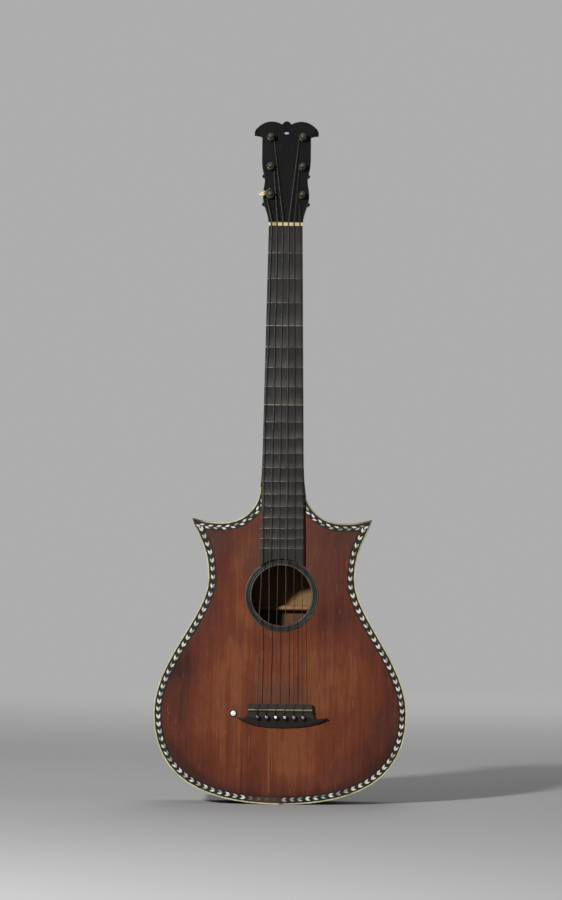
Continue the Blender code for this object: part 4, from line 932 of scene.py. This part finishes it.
def make_ring():
    profile = [(HOLE_RADIUS + share * RING_WIDTH, RING_RISE * rise) for share, rise in RING_STEPS]
    middle = Matrix.Translation((0, TOP_FACE - GAP, HOLE_HEIGHT)) @ FLAT
    mesh = turned("ring", profile, 160, middle, 60)
    place("hole_ring", mesh, "ring", slot="soundhole_ring", stands_for=("soundhole_ring",))


# Fingerboard


def board_half_width(height):
    share = (NUT_HEIGHT - height) / (NUT_HEIGHT - HOLE_HEIGHT - RING_RADIUS - GAP)
    return (NUT_WIDTH + share * (BOARD_END_WIDTH - NUT_WIDTH)) / 2


def make_board():
    """A slab with softened edges, and a measure of wear between the frets."""
    frets = [fret_height(i) for i in range(FRETS + 1)]
    rows = []
    for above, below in zip(frets, frets[1:]):
        for share, wear in ((0.0, 0.0), (0.15, 0.1), (0.5, 0.35), (0.8, 0.8), (0.96, 1.0)):
            rows.append((above + share * (below - above), wear))
    rows.append((frets[-1], 0.2))
    rows[0] = (NUT_HEIGHT - GAP, 0.0)
    across = [i / 8 - 1 for i in range(17)]
    radius, end, soft = RING_RADIUS + GAP, BOARD_END_WIDTH / 2, 0.0004
    shape = bmesh.new()
    worn = shape.verts.layers.float.new("wear")

    def row(half_width, height_of, wear):
        spots = [(share * (half_width - soft), BOARD_FACE) for share in across]
        spots = [(-half_width, BOARD_FACE + soft)] + spots + [(half_width, BOARD_FACE + soft)]
        spots += [(share * half_width, BOARD_BACK) for share in reversed(across)]
        line = []
        for x, depth in spots:
            vertex = shape.verts.new((x, depth, height_of(x)))
            vertex[worn] = wear
            line.append(vertex)
        return line

    def arc(x):
        return HOLE_HEIGHT + sqrt(radius**2 - min(abs(x), end) ** 2)

    lines = [row(board_half_width(height), lambda x, h=height: h, wear) for height, wear in rows]
    lines.append(row(end, arc, 0.25))
    skin(shape, lines)
    last = len(across)
    for line, step in ((lines[0], 1), (lines[-1], -1)):
        shape.faces.new([line[0], line[1], line[-1]][::step])
        for i in range(1, last):
            shape.faces.new([line[i], line[i + 1], line[-i - 1], line[-i]][::step])
        shape.faces.new([line[last], line[last + 1], line[last + 2]][::step])
    board = from_bmesh("board", shape)
    place("board", board, "board", slot="fingerboard", stands_for=("fingerboard",))


def make_frets():
    """Wires with round crowns and slanted ends."""
    shape = bmesh.new()
    sides, reach_up, slant, foot = 7, 0.0007, 0.0012, BOARD_FACE + 0.0002
    for fret in range(1, FRETS + 1):
        height = fret_height(fret)
        reach = board_half_width(height) - GAP
        loops = []
        for x, share in ((-reach, 0.55), (-reach + slant, 1), (reach - slant, 1), (reach, 0.55)):
            spots = [(foot, height - reach_up)]
            for turn in (pi * i / (sides - 1) for i in range(sides)):
                y = BOARD_FACE - 0.0008 * share * sin(turn)
                spots.append((y, height - reach_up * cos(turn)))
            spots.append((foot, height + reach_up))
            loops.append([shape.verts.new((x, y, z)) for y, z in spots])
        skin(shape, loops, capped=True)
    mesh = from_bmesh("frets", shape, 60)
    place("fret_wires", mesh, "frets", slot="fingerboard", stands_for=("fingerboard",))


# Strings and pegs


def string_depth(string, height):
    radius = STRING_DIAMETERS[string] / 2
    at_nut = BOARD_FACE - STRING_OVER_BOARD - radius
    at_saddle = SADDLE_CREST - GAP - radius
    return at_nut + (NUT_HEIGHT - height) / SCALE_LENGTH * (at_saddle - at_nut)


def string_slot(string):
    return "overspun_strings" if string < WOUND_STRINGS else "gut_strings"


def post_radius(height):
    share = (height + HEAD_THICKNESS) / (PEG_PROUD + HEAD_THICKNESS)
    return PEG_BACK_RADIUS + share * (PEG_TIP_RADIUS - PEG_BACK_RADIUS)


def peg_frame(string):
    return HEAD_FRAME @ Matrix.Translation((*PEG_PLACES[string], 0))


FEED_SIDES = (-1, 1, 1, -1, -1, -1)


def feed_point(string):
    """Where a straight string meets its turns on the post, and at which angle."""
    x, y = PEG_PLACES[string]
    reach = post_radius(FEED_HEIGHT) + GAP + STRING_DIAMETERS[string] / 2
    aside, along = string_x(string, NUT_HEIGHT) - x, -y
    quarter = acos(reach / hypot(aside, along))
    angle = atan2(along, aside) + FEED_SIDES[string] * quarter
    return x + reach * cos(angle), y + reach * sin(angle), angle


SLACK = (0.0003, 0.0005, 0.0004, 0.0003, 0.0003, 0.0002)
BENDS = {0: ((0.247, 0.03, -0.0014), (0.47, 0.11, -0.0018))}  # height, reach and shift
STRING_STEPS = 40


def make_strings():
    """Old strings: not quite straight between the nut and the saddle."""
    for string in STRINGS:
        radius = STRING_DIAMETERS[string] / 2
        x = string_x(string, PIN_HEIGHT)
        down = PIN_HEIGHT + PIN_RADIUS + GAP + radius
        clear = PIN_HEIGHT + PIN_HEAD_RADIUS + 2 * GAP + radius
        crest = string_depth(string, SADDLE_HEIGHT)
        behind = SADDLE_HEIGHT - 0.0012
        points = [
            (x, PLATE_BACK + STRING_TAIL, down),
            (x, BRIDGE_FACE + RAMP_DEPTH + radius, down),
            (x, BRIDGE_FACE + GAP, clear),
            (string_x(string, behind), crest, behind),
            (string_x(string, SADDLE_HEIGHT), crest, SADDLE_HEIGHT),
        ]
        first, second = dice.uniform(0, 6), dice.uniform(0, 6)
        for i in range(1, STRING_STEPS):
            height = SADDLE_HEIGHT + SCALE_LENGTH * i / STRING_STEPS
            sway = sin(height * 41 + first) + 0.6 * sin(height * 97 + second)
            aside = SLACK[string] * sway
            for middle, spread, shift in BENDS.get(string, ()):
                aside += shift * exp(-(((height - middle) / spread) ** 2))
            aside *= sin(pi * i / STRING_STEPS) ** 0.6
            points.append((string_x(string, height) + aside, string_depth(string, height), height))
        at_nut = (string_x(string, NUT_HEIGHT), string_depth(string, NUT_HEIGHT))
        side, along, _ = feed_point(string)
        points += [
            (*at_nut, NUT_HEIGHT - GAP),
            (*at_nut, NUT_HEIGHT + NUT_LENGTH),
            tuple(HEAD_FRAME @ Vector((side, along, FEED_HEIGHT))),
        ]
        look = ("wound", "wound", "wound", "gut", "thin_gut", "thin_gut")[string]
        number, slot = string + 1, string_slot(string)
        solid = (f"string_{number}",)
        wire(f"string_run_{number}", [points], radius, look, slot=slot, stands_for=solid)


def make_windings():
    """Turns of string on each post, a little loose and uneven."""
    steps = 24
    for string in STRINGS:
        diameter = STRING_DIAMETERS[string]
        start, pitch = FEED_HEIGHT + diameter + GAP, diameter + TURN_SPACE
        angle = feed_point(string)[2]
        points = []
        for i in range(WINDING_TURNS[string] * steps + 1):
            height = start + pitch * i / steps
            loose = 0.00012 * sin(i * 0.9 + string) ** 2
            reach = post_radius(height) + GAP / 2 + diameter / 2 + loose
            turn = angle + FEED_SIDES[string] * tau * i / steps
            wobble = 0.0001 * sin(i * 0.37 + string)
            points.append((reach * cos(turn), reach * sin(turn), height + wobble))
        look = "turns_wound" if string < WOUND_STRINGS else "gut"
        number = string + 1
        body, solid, where = f"peg_{number}", (f"winding_{number}",), peg_frame(string)
        name, slot = f"turns_{number}", string_slot(string)
        wire(name, [points], diameter / 2, look, body, slot, solid, where)


def make_pegs():
    """Turned posts with round tips, and flat thumb pieces behind."""
    back = -HEAD_THICKNESS - GAP
    collar = back - COLLAR_LENGTH
    foot = collar - STEM_LENGTH
    dome = 0.0018
    profile = [(0, PEG_PROUD)]
    profile += rounded(6, lambda s: PEG_TIP_RADIUS * s, lambda c: PEG_PROUD - dome * (1 - c))
    profile += [(post_radius(0), 0), (post_radius(back), back)]
    profile += [(COLLAR_RADIUS - 0.0004, back - 0.0001), (COLLAR_RADIUS, back - 0.0006)]
    profile += [(COLLAR_RADIUS, collar + 0.0009), (COLLAR_RADIUS - 0.0008, collar)]
    profile += [(STEM_RADIUS + 0.0004, collar - 0.0006), (STEM_RADIUS - 0.0002, collar - 0.002)]
    profile += [(STEM_RADIUS, foot), (0, foot)]
    middle = foot + STEM_SINK - GRIP_HEIGHT / 2
    for string in STRINGS:
        number, where = string + 1, peg_frame(string)
        body = f"peg_{number}"
        post = turned("post", profile, 48)
        place(f"post_{number}", post, "posts", body, "pegs", (body,), where)
        shape = bmesh.new()
        bmesh.ops.create_uvsphere(shape, u_segments=48, v_segments=25, radius=0.5)
        for vertex in shape.verts:
            px, py, pz = vertex.co
            dish = 0.72 + 0.28 * (hypot(px, pz) * 2) ** 2
            vertex.co = (px * GRIP_WIDTH, py * GRIP_THICKNESS * dish, pz * GRIP_HEIGHT + middle)
        grip = from_bmesh("grip", shape, 80)
        place(f"grip_{number}", grip, "grips", body, "pegs", (body,), where)


TUFT_THREADS, TUFT_ROOT = 64, Vector((-0.004, 0.0014, 0.0106))
TUFT_SIZES = (0.8, 1.0, 1.2, 1.3, 1.4, 1.3, 1.1, 0.8, 0.35)
STIFF_END = (-0.0072, 0.0004, 0.01), (-0.0046, 0.0034, 0.0104), (0.0004, 0.0076, 0.0106)


def make_tuft():
    """The frayed end of the first string's turns, and the stiff end beside it."""
    threads = []
    for i in range(TUFT_THREADS):
        spread = dice.uniform(-1, 1)
        length = dice.uniform(0.008, 0.0118)
        lift = dice.uniform(-1, 1)
        points = []
        for t in (k / 8 for k in range(9)):
            swell = sin(pi * min(0.12 + 0.94 * t, 1.0)) ** 0.8
            aside = 0.0029 * spread * swell - 0.003 * t + 0.0008 * t * t
            rise = 0.0014 * lift * swell + 0.0002 * sin(4 * t + i)
            points.append(TUFT_ROOT + Vector((-length * t, aside, rise)))
        threads.append(points)
    where = {"body": "peg_1", "slot": "gut_strings", "at": peg_frame(0)}
    wire("frayed_end", threads, 0.0003, "tuft", sizes=TUFT_SIZES, **where)
    wire("string_end", [curved(STIFF_END, 6)], 0.00045, "twisted_end", **where)


def make_scrolls():
    """Small carved eyes at the ends of the crest's wings."""
    profile = ((0, 0.0003), (0.0006, 0.0004), (0.001, 0.0001), (0.0014, 0.0006))
    profile += ((0.0019, 0.0007), (0.0023, 0.0003), (0.0023, 0.0))
    for hand, side in ((-1, "bass"), (1, "treble")):
        where = HEAD_FRAME @ Matrix.Translation((hand * SCROLL_SPREAD, SCROLL_REACH, GAP / 3))
        mesh = turned("scroll", profile, 32)
        place(f"crest_scroll_{side}", mesh, "head", slot="neck", at=where)


# Bridge


def make_pins():
    """Pins with a cupped head that holds a domed eye."""
    head, depth, eye = PIN_HEAD_RADIUS, PIN_HEAD_DEPTH, 0.0019
    profile = [(0, 0.9 * depth), (eye - 0.0002, 0.9 * depth), (eye, 0.93 * depth)]
    rim = (lambda s: head * (0.6 + 0.4 * s)), (lambda c: depth * (0.54 + 0.4 * c))
    profile += rounded(8, *rim, pi * 0.86)
    profile += [(PIN_RADIUS, 0.02 * depth), (PIN_END_RADIUS, -PIN_LENGTH), (0, -PIN_LENGTH)]
    dome = [(0, depth), (eye * 0.45, 0.985 * depth), (eye * 0.8, 0.955 * depth)]
    dome += [(eye, 0.91 * depth), (eye, 0.86 * depth), (0, 0.86 * depth)]
    for string in STRINGS:
        number = string + 1
        node = f"bridge_pin_{number}"
        seat = (string_x(string, PIN_HEIGHT), BRIDGE_FACE - GAP, PIN_HEIGHT)
        lean = Matrix.Rotation(radians(dice.uniform(-2, 2)), 4, "Z")
        where = Matrix.Translation(seat) @ FLAT @ lean
        shank = turned("pin", profile, 40)
        place(f"pin_{number}", shank, "pegs", node, "bridge_pins", (node,), where)
        eyes = turned("eye", dome, 32)
        look = ("eye_dark", "eye_grey", "eye_white", "eye_pale", "eye_grey", "eye_grey")[string]
        place(f"pin_eye_{number}", eyes, look, node, "bridge_pins", (node,), where)


def make_stud():
    """A pearl bead in a black ring."""
    seat = Matrix.Translation((STUD_X, TOP_FACE - GAP, STUD_Z)) @ FLAT
    where = {"slot": "stud", "stands_for": ("bridge_stud",), "at": seat}
    ring = [(0.003, 0.0), (0.003, 0.0011), (0.0034, 0.0015), (0.0041, 0.0014)]
    ring += [(0.0046, 0.0008), (STUD_RADIUS, 0.0), (0.003, 0.0)]
    place("stud_ring", turned("stud_ring", ring, 48), "bridge", **where)
    dome = [(0, 0.0028), *rounded(8, lambda s: 0.0035 * s, lambda c: 0.0016 + 0.0012 * c)]
    dome += [(0.0029, 0.0), (0, 0)]
    place("stud_bead", turned("stud_bead", dome, 48), "eye_white", **where)


# Solids that stay, with softened edges


def shading_tree():
    """Shades a solid smooth over each edge that turns less than 35 degrees."""
    tree = bpy.data.node_groups.new("smooth_over_flat_edges", "GeometryNodeTree")
    for way in ("INPUT", "OUTPUT"):
        tree.interface.new_socket("Geometry", in_out=way, socket_type="NodeSocketGeometry")
    shading = Tree(tree, "")
    start, end = shading.node("NodeGroupInput"), shading.node("NodeGroupOutput")
    angle = shading.node("GeometryNodeInputMeshEdgeAngle").outputs["Unsigned Angle"]
    feeds = {0: angle, 1: radians(35)}
    flat = shading.node("FunctionNodeCompare", feeds, operation="LESS_EQUAL")
    feeds = {"Geometry": start.outputs[0], "Shade Smooth": flat.outputs["Result"]}
    edges = shading.node("GeometryNodeSetShadeSmooth", feeds, domain="EDGE")
    faces = shading.node("GeometryNodeSetShadeSmooth", {"Geometry": edges.outputs[0]})
    shading.feed(end, {0: faces.outputs[0]})
    return tree


SHADING = shading_tree()
DRESSES = {  # look, width and segments of the softened edges
    "soundboard": ("soundboard", 0, 2),
    "lower_rib_bass": ("ribs", 0.0003, 2),
    "lower_rib_treble": ("ribs", 0.0003, 2),
    "upper_rib_bass": ("ribs", 0.0003, 2),
    "upper_rib_treble": ("ribs", 0.0003, 2),
    "back": ("ribs", 0.0006, 3),
    "binding_bass": ("binding", 0.0003, 2),
    "binding_treble": ("binding", 0.0003, 2),
    "neck": ("neck", 0.0004, 2),
    "headstock": ("head", 0.0005, 2),
    "nut": ("nut", 0.0003, 2),
    "saddle": ("saddle", 0.0005, 2),
    "bridge": ("bridge", 0.0004, 2),
}


def dress_solids():
    hidden = [n for n in NODES if "lining" in n or "block" in n or n == "bridge_plate"]
    dresses = DRESSES | dict.fromkeys(hidden, ("inner", 0, 2))
    for name, (look, soften, segments) in dresses.items():
        node = NODES[name]
        coat(node, look)
        node.modifiers.new("weld", "WELD").merge_threshold = 0.00001
        if soften:
            bevel = node.modifiers.new("soften", "BEVEL")
            bevel.width, bevel.segments = soften, segments
            bevel.limit_method, bevel.angle_limit = "ANGLE", radians(40)
        node.modifiers.new("shading", "NODES").node_group = SHADING
        node.modifiers.new("weights", "WEIGHTED_NORMAL").keep_sharp = True


# Braces


def make_braces():
    """Each brace's crest is planed round, from the middle to its scooped ends."""
    right_side = ((0.2, 0.98), (0.52, 0.87), (0.82, 0.66), (1, 0.42), (1, 0))
    section = [(-aside, share) for aside, share in reversed(right_side)] + list(right_side)
    for name in NODES:
        if "brace" not in name:
            continue
        low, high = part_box(name)
        reach, height = high[0], (low[2] + high[2]) / 2
        tip, crest = (reach, BRACE_END), (reach - BRACE_SCOOP, BRACE_DEPTH)
        right = [point for point, _ in bend(tip, 180, 0.45, crest, 180, 0.45, 10)][::-1]
        shape = bmesh.new()
        loops = []
        for x, depth in [(-x, depth) for x, depth in reversed(right)] + right:
            loop = []
            for aside, share in section:
                z = height + aside * BRACE_WIDTH / 2
                y = low[1] + share * depth
                if name.startswith("back"):
                    y = BACK_INNER - GAP - BACK_LEAN * z - share * depth
                loop.append(shape.verts.new((x, y, z)))
            loops.append(loop)
        skin(shape, loops, capped=True)
        mesh = from_bmesh("brace", shape, 50)
        place(name + "_planed", mesh, "inner", slot="inner_spruce", stands_for=(name,))


# Floor, light and camera


def make_stage():
    """A pale floor that fades into the pale backdrop far away."""
    mesh = turned("floor", [(0, 0), (1, 0), (3, 0), (9, 0), (40, 0)], 96)
    paint = Paint("pale_floor", roughness=0.9, specular=0.0)
    seen = paint.seen_rays()
    cloud = paint.noise(0.7, 2, 0.5, 1.0)
    pale = paint.ramp(cloud, (0.3, 0.7), (176, 176, 176), (181, 181, 181))
    mesh.materials.append(paint.done(paint.blend(colour(96, 96, 96), pale, seen)))
    glow = paint.node("Emission", {"Strength": BACKDROP})
    fade = paint.between(paint.vector("LENGTH", paint.place), 0.9, 4.0)
    shaders = {1: paint.shader.outputs[0], 2: glow.outputs[0]}
    mixed = paint.node("MixShader", {0: paint.times(seen, fade), **shaders})
    paint.feed(paint.tree.nodes["Material Output"], {"Surface": mixed.outputs[0]})
    linked("floor", mesh)


def lamp(name, size, power, where, target, shines=True):
    """A round lamp. One that doesn't shine lights matt surfaces, and shows in no gloss."""
    light = bpy.data.lights.new(name, "AREA")
    light.shape = "DISK"
    light.size = size
    light.energy = power
    holder = linked(name, light)
    holder.location = where
    holder.rotation_euler = (Vector(target) - Vector(where)).to_track_quat("-Z", "Y").to_euler()
    holder.visible_camera = False
    holder.visible_glossy = shines


KEY_SIDE, KEY_RISE, KEY_DISTANCE = radians(28.5), radians(21.1), 3.6  # from the hole


def make_light():
    centre = Vector((0, 0, 0.45))
    level = cos(KEY_RISE)
    way = Vector((-sin(KEY_SIDE) * level, -cos(KEY_SIDE) * level, sin(KEY_RISE)))
    key = Vector((0, TOP_FACE, HOLE_HEIGHT)) + KEY_DISTANCE * way
    lamp("key", 0.3, 134, key, centre)
    lamp("fill", 2.0, 9, (3.4, -2.0, 1.8), centre)
    lamp("top", 2.4, 24, (0.3, 1.6, 3.2), (0, 0.2, 0))
    lamp("back", 2.4, 28, (0.3, 3.6, 1.2), centre, shines=False)
    world = bpy.data.worlds.new("room")
    world.use_nodes = True
    sky = Tree(world.node_tree)
    feeds = {"Value": sky.seen_rays(), "To Min": 0.12, "To Max": BACKDROP}
    strength = sky.node("MapRange", feeds).outputs["Result"]
    feeds = {"Color": (1, 1, 1, 1), "Strength": strength}
    sky.feed(world.node_tree.nodes["Background"], feeds)
    bpy.context.scene.world = world
    bpy.context.scene.view_settings.view_transform = "Standard"


def make_camera():
    camera = bpy.data.cameras.new("camera")
    camera.sensor_fit = "VERTICAL"
    camera.sensor_height = SENSOR
    camera.lens = SENSOR * CAMERA_DISTANCE / FRAME_HEIGHT
    camera.clip_end = 50
    holder = linked("camera", camera)
    rise = radians(CAMERA_ELEVATION)
    back = Vector((0, -cos(rise), sin(rise)))
    holder.location = CAMERA_AIM + CAMERA_DISTANCE * back
    turn = Matrix.Rotation(radians(90 - CAMERA_ELEVATION), 4, "X")
    roll = Matrix.Rotation(radians(CAMERA_ROLL), 4, "Z")
    holder.rotation_euler = (turn @ roll).to_euler()
    bpy.context.scene.camera = holder


make_camera()
make_stage()
make_light()
dress_solids()
make_braces()
make_band()
make_pearls()
make_ring()
make_board()
make_frets()
make_strings()
make_windings()
make_pegs()
make_tuft()
make_scrolls()
make_pins()
make_stud()
